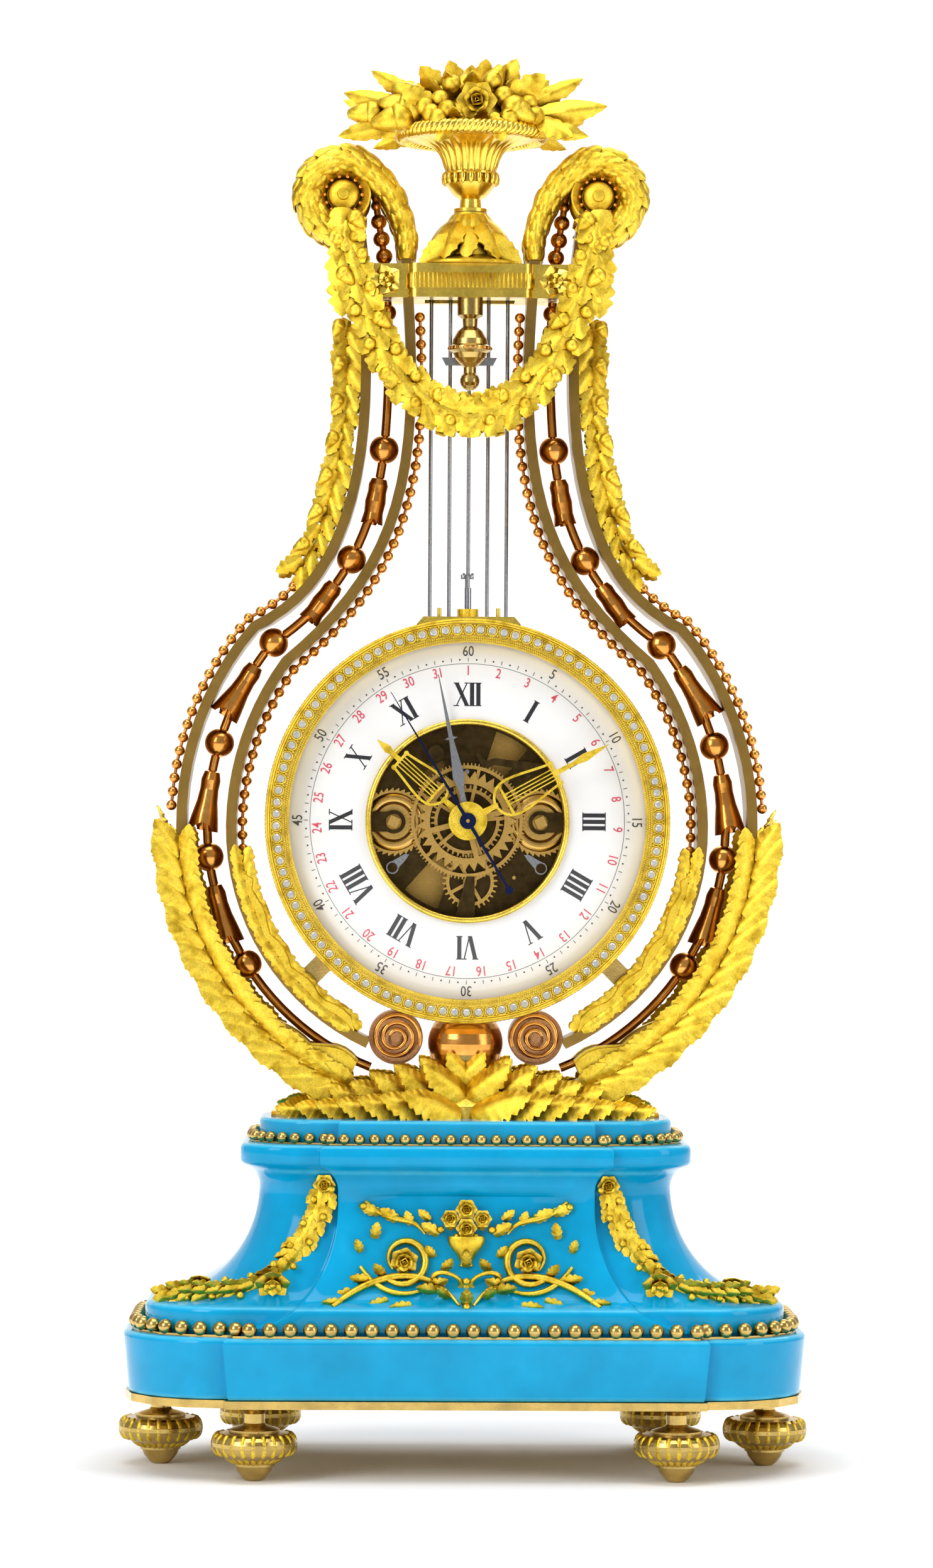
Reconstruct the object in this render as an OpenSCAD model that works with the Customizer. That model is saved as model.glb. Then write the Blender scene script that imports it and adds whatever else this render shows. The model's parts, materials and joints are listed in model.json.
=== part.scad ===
// Lyre clock: a gilt lyre on a turquoise porcelain base.
// A fixed enamel dial with an open centre stands inside the lyre. A jewelled ring,
// hung from a gridiron pendulum, swings round it. Front is -Y, up is +Z, and the
// origin is the bottom centre, on the surface that the feet stand on.

/* [Base] */
// Height of a turned foot
foot_h = 32; // [28:0.5:38]
// Largest radius of a foot
foot_r = 18.8; // [16:0.1:20]
// Sideways place of the four corner feet
foot_corner_x = 91.5; // [80:0.5:94]
// Front-to-back place of the corner feet
foot_corner_y = 60; // [50:0.5:61]
// Sideways place of the two end feet
foot_end_x = 134.5; // [124:0.5:138]
// Thickness of the gilt tray under the porcelain
tray_h = 3.5; // [2:0.1:6]
// Height of the plinth slab
plinth_h = 27; // [20:0.5:36]
// Half width of the plinth
plinth_half_w = 150; // [146:0.5:158]
// Half depth of the plinth ends
plinth_half_d = 70; // [66:0.5:76]
// Corner radius of the plinth ends
plinth_r = 46; // [36:0.5:50]
// Half width of the front block of the plinth
block_half_w = 105; // [98:0.5:110]
// How far the front block stands proud of the ends
block_proud = 4.8; // [2:0.1:7]
// Height of the lip at the foot of the pedestal
lip_h = 12.5; // [8:0.1:18]
// Step from the plinth in to the lip, at the ends
lip_step_x = 9.5; // [8:0.1:14]
// Step from the plinth in to the lip, front and back
lip_step_y = 7.4; // [7:0.1:12]
// Height of the hollow-sided body of the pedestal
body_h = 50; // [40:0.5:64]
// Half width of the pedestal at its neck
neck_half_w = 91; // [84:0.5:98]
// Half depth of the pedestal ends at its neck
neck_half_d = 44; // [40:0.5:48]
// Half width of the front block at its neck
neck_block_half_w = 56; // [50:0.5:62]
// Height of the cornice with the moulding below it
cornice_h = 19.5; // [14:0.5:26]
// Overhang of the cornice beyond the neck
cornice_out = 8; // [4:0.1:12]
// Height of the cap slab
cap_h = 10.5; // [7:0.1:16]
// Step from the cornice in to the cap
cap_step = 8; // [6:0.1:11]
// Depth of the sunk panel in the front block
panel_depth = 3; // [1:0.1:4]
// Radius of the beads round the plinth
plinth_bead_r = 3.3; // [2:0.1:3.5]
// Radius of the beads round the cap
cap_bead_r = 2.5; // [1.5:0.1:2.8]
// Radius of the central bolt that ties the base to the lyre
bolt_r = 3; // [2:0.1:4]

/* [Lyre] */
// Height of the leafy mound on the cap
mound_h = 15.5; // [11:0.5:20]
// Radius of the ball at the foot of the lyre
ball_r = 16.7; // [13:0.1:18]
// Height of the dial centre above the cap
dial_up = 131; // [129:0.5:138]
// Radius of the round part of the inner band
inner_band_r = 104.5; // [103:0.5:110]
// Radius of the round part of the outer band
outer_band_r = 126.5; // [124:0.5:132]
// Thickness of a band, seen from the front
band_t = 4.5; // [3:0.1:5.5]
// Depth of a band from front to back
band_d = 26; // [20:0.5:30]
// Half distance between the outer bands at the neck
neck_out_x = 46; // [44:0.5:50]
// Half distance between the inner bands at the neck
neck_in_x = 26.5; // [25.5:0.5:29]
// Height of the yoke's underside above the dial centre
yoke_up = 231.5; // [222:0.5:242]
// Height of the yoke
yoke_h = 15; // [12:0.5:20]
// Half width of the bowed middle of the yoke
yoke_bow_half_w = 28; // [24:0.5:31]
// Radius of the leaf-wrapped volutes, to the middle of the roll
volute_r = 14.8; // [12:0.1:16]
// Thickness of a volute's roll
roll_t = 8.5; // [6:0.1:10]
// Radius of the large balls on the husk strings
husk_ball_r = 6.5; // [5:0.1:7.5]
// Radius of the rods that string husks and balls
husk_rod_r = 2; // [1.5:0.1:2.5]
// Radius of the small beads outside the outer bands
outer_bead_r = 2.3; // [1.5:0.1:2.6]
// Radius of the small beads inside the inner bands
inner_bead_r = 2.3; // [1.5:0.1:2.6]

/* [Finial] */
// Height of the acanthus stem above the yoke
stem_h = 24.5; // [18:0.5:32]
// Height of the turned cup and fluted basket
basket_h = 38; // [30:0.5:46]
// Radius of the rope rim of the basket
rim_r = 34.5; // [28:0.5:38]
// Height of the bouquet above the rim
bouquet_h = 32.5; // [24:0.5:40]

/* [Dial] */
// Outer radius of the enamel dial
dial_r = 83; // [80:0.5:85]
// Radius of the open centre of the dial
dial_hole_r = 44; // [42:0.5:48]
// Thickness of the enamel
dial_t = 1.6; // [1:0.1:2]
// How much the dial falls back from its inner to its outer edge
dial_dish = 6; // [3:0.1:6.4]
// Thickness of the rope moulding in the opening
rope_r = 1.3; // [0.9:0.1:1.6]
// Reach of the seconds hand
seconds_reach = 66; // [55:0.5:70]
// Reach of the minute hand
minute_reach = 70.5; // [60:0.5:72]
// Reach of the hour hand
hour_reach = 53.5; // [46:0.5:57]
// Reach of the date hand
date_reach = 66; // [56:0.5:70]
// Time shown, in minutes after twelve
shown_minutes = 610.2; // [0:0.1:719]
// Second shown
shown_seconds = 54.8; // [0:0.1:59.9]
// Day of the month shown
shown_day = 31; // [1:1:31]

/* [Pendulum] */
// Outer radius of the jewelled ring
ring_r = 89.3; // [86:0.1:91]
// Width of the ring, seen from the front
ring_w = 10.6; // [8:0.1:11]
// Number of brilliants round the ring
stone_count = 102; // [60:2:110]
// Radius of one brilliant
stone_r = 2.1; // [1.2:0.05:2.2]
// Radius of the gridiron rods
grid_rod_r = 0.85; // [0.6:0.05:1.2]
// Spacing of the gridiron rods
grid_pitch = 8.5; // [6:0.1:9]

/* [Movement] */
// Radius of the movement plates
plate_r = 58; // [56:0.5:60]
// Distance between the two plates
plate_gap = 26; // [26:0.5:32]
// Sideways place of the two winding arbors
wind_x = 32.5; // [32.5:0.1:33.5]
// Across-flats size of a winding square
square_size = 4.5; // [3.5:0.1:5]
// Radius of the ratchet wheels
ratchet_r = 15.3; // [12:0.1:15.3]
// Radius of the bell
bell_r = 38; // [30:0.5:38]
// Radius of the star wheel at its points
star_r = 22.5; // [20:0.1:23]

/* [Hidden] */
$fn = 64;

// Fits: radial play of a running bearing, gap between parts that pass, seat gap
run_fit = 0.05;
clear = 0.5;
seat = 0.2;

// Heights of the base, from the ground up
z_tray = foot_h;
z_plinth = z_tray + tray_h;
z_lip = z_plinth + plinth_h;
z_body = z_lip + lip_h;
z_neck = z_body + body_h;
z_cap = z_neck + cornice_h;
z_mound = z_cap + cap_h;
z_ball = z_mound + mound_h + ball_r;

// Heights of the lyre
z_dial = z_mound + dial_up;
z_yoke = z_dial + yoke_up;
z_yoke_top = z_yoke + yoke_h;
z_basket = z_yoke_top + stem_h - 0.5;
z_rim = z_basket + basket_h;
z_top = z_rim + bouquet_h;

// Depths, from the front: negative is towards the viewer
band_y = band_d / 2;
seconds_y = -29.2;
minute_y = -27.4;
hour_y = -24.9;
date_y = -22;
ring_y = [-24, -15];
dial_y = -18;
dial_plate_y = [-12.4, -10.6];
star_y = [-11.6, -10.8];
cock_y = [-10, -9];
hour_wheel_y = [-8.4, -7.6];
cannon_y = [-5.6, -4.6];
ratchet_y = [-5.4, -4.4];
front_plate_y = [-4, -2];
back_plate_y = [front_plate_y[1] + plate_gap, front_plate_y[1] + plate_gap + 2];
barrel_y = [1, 15];
rod_y0 = 3;
yoke_y = [-17, 15];

// A plan of the base: half width, half depth and corner radius of the ends, half
// width and half depth of the blocks that stand proud in front and behind
plinth_plan = [plinth_half_w, plinth_half_d, plinth_r, block_half_w, plinth_half_d + block_proud];
lip_plan = shrink(plinth_plan, lip_step_x, lip_step_y);
neck_r = 30;
neck_plan = [neck_half_w, neck_half_d, neck_r, neck_block_half_w, neck_half_d + block_proud];
cornice_plan = shrink(neck_plan, -cornice_out, -cornice_out + 0.8);
cap_plan = shrink(cornice_plan, cap_step, cap_step);

function shrink(p, dx, dy) =
  [p[0] - dx, p[1] - dy, p[2] - (dx + dy) / 2, p[3] - dx, p[4] - dy];
function mix(a, b, t) = a + (b - a) * t;
function polar(r, a) = [r * cos(a), r * sin(a)];
function reversed(v) = [for (i = [len(v) - 1:-1:0]) v[i]];
function flip_x(v) = [for (p = v) [-p.x, p.y]];

// Points of a plan, anticlockwise from the right end of the front block, which has
// a little draft
draft = 0.1;
function plan_points(p, n = 4) =
  let (
    r = min(p[2], p[0] - p[3] - 1, p[1] - 1),
    corner = [for (i = [0:n]) [p[0] - r, p[1] - r] + polar(r, 90 * i / n)],
    back_right = concat(corner, [[p[3] + draft, p[1] + draft / 2], [p[3], p[4]]]),
    front_right = [for (q = reversed(back_right)) [q.x, -q.y]],
    right = concat(front_right, back_right),
    left = [for (q = reversed(right)) [-q.x, q.y]]
  )
  concat(right, left);

// A closed skin through rings of equal length; every ring is a list of 3D points
module skin(rings) {
  n = len(rings[0]);
  last = len(rings) - 1;
  polyhedron(
    points = [for (r = rings) for (p = r) p],
    faces = concat(
      [[for (i = [0:n - 1]) i]],
      [[for (i = [n - 1:-1:0]) last * n + i]],
      [for (k = [0:last - 1]) for (i = [0:n - 1]) let (j = (i + 1) % n)
        [k * n + i, (k + 1) * n + i, (k + 1) * n + j]],
      [for (k = [0:last - 1]) for (i = [0:n - 1]) let (j = (i + 1) % n)
        [k * n + i, (k + 1) * n + j, k * n + j]]));
}

// A solid through plans at rising heights; a level is [height, plan]
module loft(levels)
  skin([for (l = levels) [for (q = plan_points(l[1])) [q.x, q.y, l[0]]]]);

// Curves in the plane of the front, as [x, z] points
function bezier(a, b, c, d, n) = [for (i = [0:n]) let (t = i / n, s = 1 - t)
  s * s * s * a + 3 * s * s * t * b + 3 * s * t * t * c + t * t * t * d];
function direction(pts, i) =
  let (d = pts[min(i + 1, len(pts) - 1)] - pts[max(i - 1, 0)]) d / norm(d);
function beside(pts, d) = [for (i = [0:len(pts) - 1]) let (t = direction(pts, i))
  pts[i] + d * [t.y, -t.x]];
function ribbon(pts, w) = concat(beside(pts, w / 2), reversed(beside(pts, -w / 2)));
function lengths(p) = [for (i = 0, s = 0; i < len(p);
  s = s + norm(p[min(i + 1, len(p) - 1)] - p[i]), i = i + 1) s];
function span_at(run, s) = max([for (i = [0:len(run) - 2]) if (run[i] <= s) i]);
function point_at(p, run, s) =
  let (c = min(max(s, 0), run[len(run) - 1]), i = span_at(run, c))
  mix(p[i], p[i + 1], (c - run[i]) / (run[i + 1] - run[i]));
function heading_at(p, run, s) =
  let (i = span_at(run, min(max(s, 0), run[len(run) - 1])), d = p[i + 1] - p[i]) atan2(d.y, d.x);
// Evenly spaced stations, as [point, heading], with a pitch near the one asked for
function stations(p, pitch, closed = false) =
  let (run = lengths(p), total = run[len(run) - 1], n = max(1, round(total / pitch)))
  [for (i = [0:closed ? n - 1 : n]) let (s = total * i / n) [point_at(p, run, s), heading_at(p, run, s)]];

// Placement: a flat shape in [x, z] becomes a slab between two depths
module slab(y) translate([0, y[1], 0]) rotate([90, 0, 0]) linear_extrude(y[1] - y[0]) children();
module rod(x, z, r, y) translate([x, y[1], z]) rotate([90, 0, 0]) cylinder(r = r, h = y[1] - y[0]);
// A turned shape about the Y axis from a profile of [radius, depth] points
module turned_y(x, z, profile)
  translate([x, 0, z]) rotate([90, 0, 0]) rotate_extrude() polygon([for (p = profile) [p.x, -p.y]]);
module turned(profile) rotate_extrude() polygon(profile);
module both_sides() {
  children();
  mirror([1, 0, 0]) children();
}
// A straight round rod between two 3D points
module strut(a, b, r) {
  d = b - a;
  translate(a) rotate([0, acos(d.z / norm(d)), atan2(d.y, d.x)]) cylinder(r = r, h = norm(d));
}

// A lobed leaf that faces the viewer: it starts at p, runs along the heading a and
// curls forward by curl; w is its half width and t its thickness at the midrib
module leaf(p, y, a, l, w, t = 2.4, curl = 3, lobe = 0.25)
  translate([p.x, y, p.y]) rotate([90, 0, 0]) rotate([0, 0, a]) skin([for (k = [0:4])
    let (
      u = k / 4,
      h = max(0.35, w * sin(20 + 155 * u) * (1 - lobe * (k % 2))),
      up = curl * u * u
    )
    [[l * u, -h, up], [l * u, 0, up - 0.5 * t], [l * u, h, up],
      [l * u, 0, up + max(0.3, t * (1 - 0.7 * u))]]]);

// An acorn or bud that points along the heading a, and a round berry
module acorn(p, y, a, r) translate([p.x, y, p.y]) rotate([0, 90 - a, 0])
  skin([for (q = [[0.5, -0.7], [1, 0], [0.35, 1.3]])
    [for (j = [0:4]) r * [q.x * cos(72 * j), q.x * sin(72 * j), q.y]]]);
module berry(p, y, r) translate([p.x, y, p.y]) sphere(r, $fn = 6);

// A flower that faces the viewer: lobed petals round a raised boss
module flower(p, y, r) skin([for (ring = [[0.9, 0.25], [1, -0.05], [0.45, -0.18], [0.2, -0.5]])
  [for (j = [0:9]) let (q = p + r * ring[0] * (j % 2 == 0 ? 1 : mix(0.62, 1, ring[0] < 0.5 ? 1 : 0)) * polar(1, 90 + 36 * j))
    [q.x, y + r * ring[1], q.y]]]);

// Teeth of a gear in its own plane: n teeth of module m, w is the tooth's share of
// half the pitch, add and ded are its height and depth in modules
function gear_points(n, m, w, add, ded, turn = 0) =
  [for (i = [0:n - 1]) let (r = n * m / 2, c = 360 * i / n + turn, h = w * 90 / n)
    each [polar(r - ded * m, c - h), polar(r + add * m * 0.35, c - h * 0.85),
      polar(r + add * m, c - h * 0.3), polar(r + add * m, c + h * 0.3),
      polar(r + add * m * 0.35, c + h * 0.85), polar(r - ded * m, c + h)]];

// The crossings of a wheel: spokes between a hub and a rim
module crossed(hub, rim_in, spokes, width, turn = 0)
  difference() {
    circle(rim_in);
    circle(hub);
    for (i = [0:spokes - 1]) rotate(turn + 360 * i / spokes) translate([0, -width / 2]) square([rim_in, width]);
  }

module feet() color("goldenrod")
  for (p = concat([for (sx = [-1, 1]) for (sy = [-1, 1]) [sx * foot_corner_x, sy * foot_corner_y]],
    [[-foot_end_x, 0], [foot_end_x, 0]]))
    translate([p.x, p.y, 0]) turned(foot_profile());
// Turned toupie foot: small toe, flared cup, gadrooned torus, collar and stem
function foot_profile() =
  let (k = foot_h / 32, g = foot_r / 18.8)
  concat(
    [[0, 0], [3.5, 0], [5, 1 * k], [7.4, 4 * k], [8.3, 6.3 * k], [9, 6.5 * k], [9, 7.5 * k],
      [9.4, 8 * k], [13 * g, 10 * k]],
    [for (a = [-70:20:70]) [(foot_r - 5) + 5 * cos(a), 16 * k + 5 * k * sin(a)]],
    [[11 * g, 21 * k], [11, 22.2 * k], [9.6, 22.8 * k], [5.4, 24 * k], [4.6, 25 * k], [4.6, 29 * k],
      [5.6, 30.4 * k], [6.4, foot_h - 0.8], [6.4, foot_h], [0, foot_h]]);

module bolt_hole(z0, z1) translate([0, 0, z0 - 1]) cylinder(r = bolt_r + seat, h = z1 - z0 + 2);

module tray() color("goldenrod") difference() {
  translate([0, 0, z_tray]) linear_extrude(tray_h) polygon(plan_points(shrink(plinth_plan, 1, 1)));
  bolt_hole(z_tray, z_plinth);
}

// A moulded slab: one profile of [inset, height] pairs is run straight along the
// sides, turned round the corners and mitred round the proud blocks
function both_edges(w, profile) =
  concat([for (q = profile) [w - q.x, q.y]], [for (q = reversed(profile)) [q.x - w, q.y]]);
module along_x(half_l)
  rotate([90, 0, 90]) translate([0, 0, -half_l]) linear_extrude(2 * half_l) children();
module moulded(p, profile) {
  r = min(p[2], p[0] - p[3] - 1, p[1] - 1);
  bottom = profile[0].y;
  top = profile[len(profile) - 1].y;
  along_x(p[0] - r) polygon(both_edges(p[1], profile));
  slab([r - p[1], p[1] - r]) polygon(both_edges(p[0], profile));
  for (c = [[1, 1, 0], [-1, 1, 90], [-1, -1, 180], [1, -1, 270]])
    translate([c.x * (p[0] - r), c.y * (p[1] - r), 0]) rotate(c.z) rotate_extrude(angle = 90)
      polygon(concat([[0, bottom]], [for (q = profile) [r - q.x, q.y]], [[0, top]]));
  intersection() {
    along_x(p[3]) polygon(both_edges(p[4], profile));
    slab([-p[4], p[4]]) polygon(both_edges(p[3], profile));
  }
}
// The rounded upper edge of a slab, as [inset, height] pairs that end at the top
function rounded_edge(r, top) = [for (a = [0:22.5:90]) [r * (1 - cos(a)), top - r * (1 - sin(a))]];

module plinth() color("deepskyblue") difference() {
  moulded(plinth_plan, concat([[3.6, z_plinth], [2.6, z_plinth + 0.4], [2.1, z_plinth + 1.6]],
    rounded_edge(2.4, z_lip)));
  bolt_hole(z_plinth, z_lip);
}

// The pedestal's hollow curve: 0 at the neck, 1 at the lip
function hollow(z) = let (u = (z_neck - z) / body_h) 1 - sqrt(max(0, 1 - u * u));
// The front block's own edge runs on down over the lip
function block_edge(z) =
  let (low = z_lip + 3.5, u = min(1, max(0, (z_neck - 7 - z) / (z_neck - 7 - low))))
  mix(neck_block_half_w, lip_plan[3], 1 - sqrt(1 - u * u));
function with_block(p, z) = [p[0], p[1], p[2], block_edge(z), p[4]];
function body_plan(z) = with_block(mix(neck_plan, lip_plan, hollow(z)), z);
body_levels = [for (a = [80, 66, 50, 34, 18]) z_neck - body_h * sin(a)];

// The sunk panel follows the hollow curve of the front block
panel_z = [z_body - 1.5, z_neck - 1];
panel_levels = concat([panel_z[0]], body_levels, [panel_z[1]]);
function panel_edge(z) = block_edge(z) - 9.5;
function panel_y(z) = -(body_plan(z)[4] - panel_depth);
module panel_cut() intersection() {
  slab([-plinth_half_d - 20, 0]) polygon(concat([for (z = panel_levels) [panel_edge(z), z]],
    [for (z = reversed(panel_levels)) [-panel_edge(z), z]]));
  along_x(lip_plan[3]) polygon(concat([for (z = panel_levels) [panel_y(z), z]],
    [for (z = [panel_z[1], panel_z[0]]) [-plinth_half_d - 10, z]]));
}

module pedestal_shape() difference() {
  loft(concat(
    [[z_lip, with_block(shrink(lip_plan, 1.4, 1.4), z_lip)],
      [z_lip + 1.4, with_block(lip_plan, z_lip)],
      [z_body - 2, with_block(lip_plan, z_body - 2)],
      [z_body - 0.6, with_block(shrink(lip_plan, 0.5, 0.5), z_body)]],
    [for (z = body_levels) [z, body_plan(z)]],
    [[z_neck - 0.5, body_plan(z_neck - 0.5)],
      [z_neck + cornice_h * 0.2, mix(neck_plan, cornice_plan, 0.12)],
      [z_neck + cornice_h * 0.4, mix(neck_plan, cornice_plan, 0.42)],
      [z_neck + cornice_h * 0.55, mix(neck_plan, cornice_plan, 0.95)],
      [z_cap - 1.4, cornice_plan],
      [z_cap, shrink(cornice_plan, 1.2, 1.2)]]));
  panel_cut();
}

module pedestal() color("deepskyblue") difference() {
  pedestal_shape();
  bolt_hole(z_lip, z_cap);
}

module cap() color("deepskyblue") difference() {
  moulded(cap_plan, concat([[0, z_cap]], rounded_edge(1.8, z_mound)));
  bolt_hole(z_cap, z_mound);
}

// A row of beads on a narrow strip, along a plan path
bead_gap = 0.65;
module bead_row(plan, z, r) {
  path = plan_points(shrink(plan, -r - bead_gap, -r - bead_gap));
  loop = concat(path, [path[0]]);
  translate([0, 0, z]) linear_extrude(r * 0.3) difference() {
    polygon(plan_points(shrink(plan, -1.6 * r, -1.6 * r)));
    polygon(plan_points(shrink(plan, -0.4 * r, -0.4 * r)));
  }
  for (s = stations(loop, 2.65 * r, true))
    translate([s[0].x, s[0].y, z + r * 1.05]) sphere(r, $fn = 24);
}
module plinth_beads() color("orange") bead_row(lip_plan, z_lip, plinth_bead_r);
module cap_beads() color("orange") bead_row(cap_plan, z_cap, cap_bead_r);

module centre_bolt() color("silver") {
  top = z_ball + ball_r * 0.6;
  translate([0, 0, z_tray - 6]) cylinder(r = bolt_r, h = top - z_tray + 6);
  translate([0, 0, z_tray - 1.6]) difference() {
    cylinder(r = 9, h = 1.6);
    translate([0, 0, -1]) cylinder(r = bolt_r - 0.5, h = 4);
  }
  translate([0, 0, z_tray - 5]) cylinder(r = 6, h = 3.4, $fn = 6);
}

// Curves of the right half of the lyre, from the bottom up
inner_c = [0, z_dial - 3.5];
outer_c = [0, z_dial - 1];
knee_a = 42.5;
inner_knee_out = 4.8;
outer_knee_out = 1.8;
z_neck_in = z_yoke - 37.5;
z_neck_out = z_yoke - 32;
scroll_r = 12;
scroll_c = [31, z_mound + 35];
outer_foot_a = -71;
inner_foot_a = -65.5;

function round_part(c, r, out, a0, n) = [for (i = [0:n]) let (a = mix(a0, knee_a, i / n))
  c + polar(r + out * pow(max(0, a) / knee_a, 2), a)];
function neck_part(knee, d, reach, neck, rise) =
  bezier(knee, knee + reach * polar(1, d), neck - [0, rise], neck, 14);
function joined(a, b) = concat(a, [for (i = [1:len(b) - 1]) b[i]]);
function last_of(v) = v[len(v) - 1];

inner_round = round_part(inner_c, inner_band_r, inner_knee_out, inner_foot_a, 26);
outer_round = round_part(outer_c, outer_band_r, outer_knee_out, outer_foot_a, 26);
inner_neck = [neck_in_x - 0.5, z_neck_in];
outer_neck = [neck_out_x, z_neck_out];
inner_top = [neck_in_x + 2, z_yoke_top + 2];
outer_top = [neck_out_x + 4.6, z_yoke_top + 25];
inner_path = joined(joined(inner_round, neck_part(last_of(inner_round), 140, 50, inner_neck, 60)),
  bezier(inner_neck, inner_neck + [0, 22], inner_top - [0.8, 16], inner_top, 6));
outer_path = joined(joined(outer_round, neck_part(last_of(outer_round), 155, 36, outer_neck, 62)),
  bezier(outer_neck, outer_neck + [0, 30], outer_top - [4.2, 22], outer_top, 6));
mid_path = [for (i = [0:len(inner_path) - 1]) (inner_path[i] + outer_path[i]) / 2];

// Volutes: the arm rises from the inner band and rolls round the eye
eye = [neck_out_x + 10.5, z_yoke_top + 30.5];
eye_disc_r = volute_r - roll_t / 2 - seat;
eye_r = eye_disc_r + 1.6;
eye_tip = 15.8;
roll_start = eye + polar(volute_r + 1, 128);
volute_path = joined(
  bezier(inner_top + [0, 0.3], inner_top + [-1.5, 16], roll_start - polar(15, 38), roll_start, 7),
  [for (a = [128:-16:-96]) eye + polar(volute_r + (a + 96) / 224, a)]);

// A rounded section across a path, for skins that follow it
function section(p, t, w, y, d) = [for (j = [0:7]) let (a = 22.5 + 45 * j, q = p + w * cos(a) * [t.y, -t.x])
  [q.x, y + d * sin(a), q.y]];
module sweep(pts, widths, y, depth)
  skin([for (i = [0:len(pts) - 1]) section(pts[i], direction(pts, i), widths[i], y, depth)]);

module band(path, grow = 0) slab([-band_y - grow, band_y + grow]) polygon(ribbon(path, band_t + 2 * grow));
module outer_band_pair() both_sides() band(outer_path);
module inner_band_pair() both_sides() band(inner_path);

module leaf_mound() color("gold") difference() {
  mound_shape();
  outer_band_pair();
  bolt_hole(z_mound, z_mound + mound_h);
}
// Height and half depth of the mound, and the lobes of its leafy edge
function mound_height(x) = mound_h * (0.14 + 0.86 * pow(max(0, cos(min(90, abs(x) * 1.05))), 1.3));
function mound_depth(x) = (8 + 19 * pow(max(0, cos(min(90, abs(x) * 1.02))), 0.9))
  * (0.9 + 0.1 * cos(abs(x) * 45));
module mound_shape() {
  half = cap_plan[0] - 5;
  skin([for (i = [-15:15]) let (x = half * sin(6 * i), h = mound_height(x), d = mound_depth(x))
    [for (q = [[-1, 0.02], [-0.94, 0.34], [-0.66, 0.8], [-0.3, 1],
        [0.3, 1], [0.66, 0.8], [0.94, 0.34], [1, 0.02]])
      [x, q.x * d, z_mound + q.y * h + (q.y < 0.1 ? -q.y * h : 0)]]]);
}

module ball() color("darkorange") difference() {
  foot = ball_r + 0.2;
  translate([0, 0, z_ball]) turned(concat(
    [[0, -foot + seat], [7.3, -foot + seat], [7.3, -foot + 1.2], [6, -foot + 2.4]],
    [for (a = [-64:8:88]) ball_r * [cos(a), sin(a)]],
    [[0, ball_r]]));
  translate([0, 0, z_ball - ball_r - 1]) cylinder(r = bolt_r + seat, h = ball_r * 1.6 + 1.2);
}

// Copper scrolls at the foot of the lyre: a drum with a raised spiral on each face
function spiral(r, turns, n) = [for (i = [0:n]) polar(r * (1 - 0.82 * i / n), 180 + 360 * turns * i / n)];
module scrolls() color("sienna") both_sides() {
  rod(scroll_c.x, scroll_c.y, scroll_r, [-9, 9]);
  for (y = [[-10.4, -9], [9, 10.4]])
    slab(y) translate(scroll_c) polygon(ribbon(spiral(scroll_r - 1, 2, 44), 1.7));
  rod(scroll_c.x, scroll_c.y, 2.2, [-11, 11]);
}

module outer_bands() color("darkkhaki") difference() {
  outer_band_pair();
  both_sides() rod(eye.x, eye.y, eye_disc_r, [-band_y - 1, band_y + 1]);
}
module inner_bands() color("darkkhaki") difference() {
  inner_band_pair();
  both_sides() rod(scroll_c.x, scroll_c.y, scroll_r, [-band_y - 1, band_y + 1]);
}

// Beads strung on a wire along a stretch of a path between two heights
function stretch(pts, z0, z1) = [for (p = pts) if (p.y >= z0 && p.y <= z1) p];
module bead_string(pts, r, pitch, y, wire) {
  s = stations(pts, pitch);
  for (q = s) translate([q[0].x, y, q[0].y]) sphere(r, $fn = 24);
  for (i = [0:len(s) - 2]) {
    step = (s[i + 1][0] - s[i][0]) * 0.5 * r / norm(s[i + 1][0] - s[i][0]);
    a = s[i][0] + step;
    b = s[i + 1][0] - step;
    strut([a.x, y, a.y], [b.x, y, b.y], wire);
  }
}
bead_out = band_t / 2 + seat;
inner_bead_y = -3.3;
module outer_beads() color("orange") both_sides()
  bead_string(stretch(beside(outer_path, bead_out + outer_bead_r), z_dial - 3, z_dial + 115),
    outer_bead_r, 2.6 * outer_bead_r, -8, 0.7);
module inner_beads() color("orange") both_sides()
  bead_string(stretch(beside(inner_path, -bead_out - inner_bead_r), z_dial - 36, z_yoke - 2.6),
    inner_bead_r, 2.6 * inner_bead_r, inner_bead_y, 0.7);

// Strings of balls and husks that hang between the bands
string_path = reversed(stretch(mid_path, scroll_c.y - 60, z_yoke - 0.2));
string_run = lengths(string_path);
ball_pitch = 51.2;
first_ball = 66;
husk_l = 27;
module along_y(p, a, y = 0) translate([p.x, y, p.y]) rotate([0, 90 - a, 0]) children();
module on_string(s)
  along_y(point_at(string_path, string_run, s), heading_at(string_path, string_run, s)) children();
// A bell flower of three petals, with its throat at the origin
module husk(l, r) difference() {
  turned([[husk_rod_r - 0.2, 0], [3.4, 0.8], [4.3, 0.16 * l], [4.1, 0.32 * l], [4.6, 0.52 * l],
    [0.84 * r, 0.76 * l], [r, l], [r - 1.1, l], [0.84 * r - 1.3, 0.76 * l], [3.2, 0.5 * l],
    [husk_rod_r - 0.2, 0.42 * l]]);
  for (a = [30, 150, 270]) rotate(a)
    translate([0, 0, l + 1]) rotate([0, 90, 0]) cylinder(r = 0.62 * r, h = 2 * r, $fn = 32);
}
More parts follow.
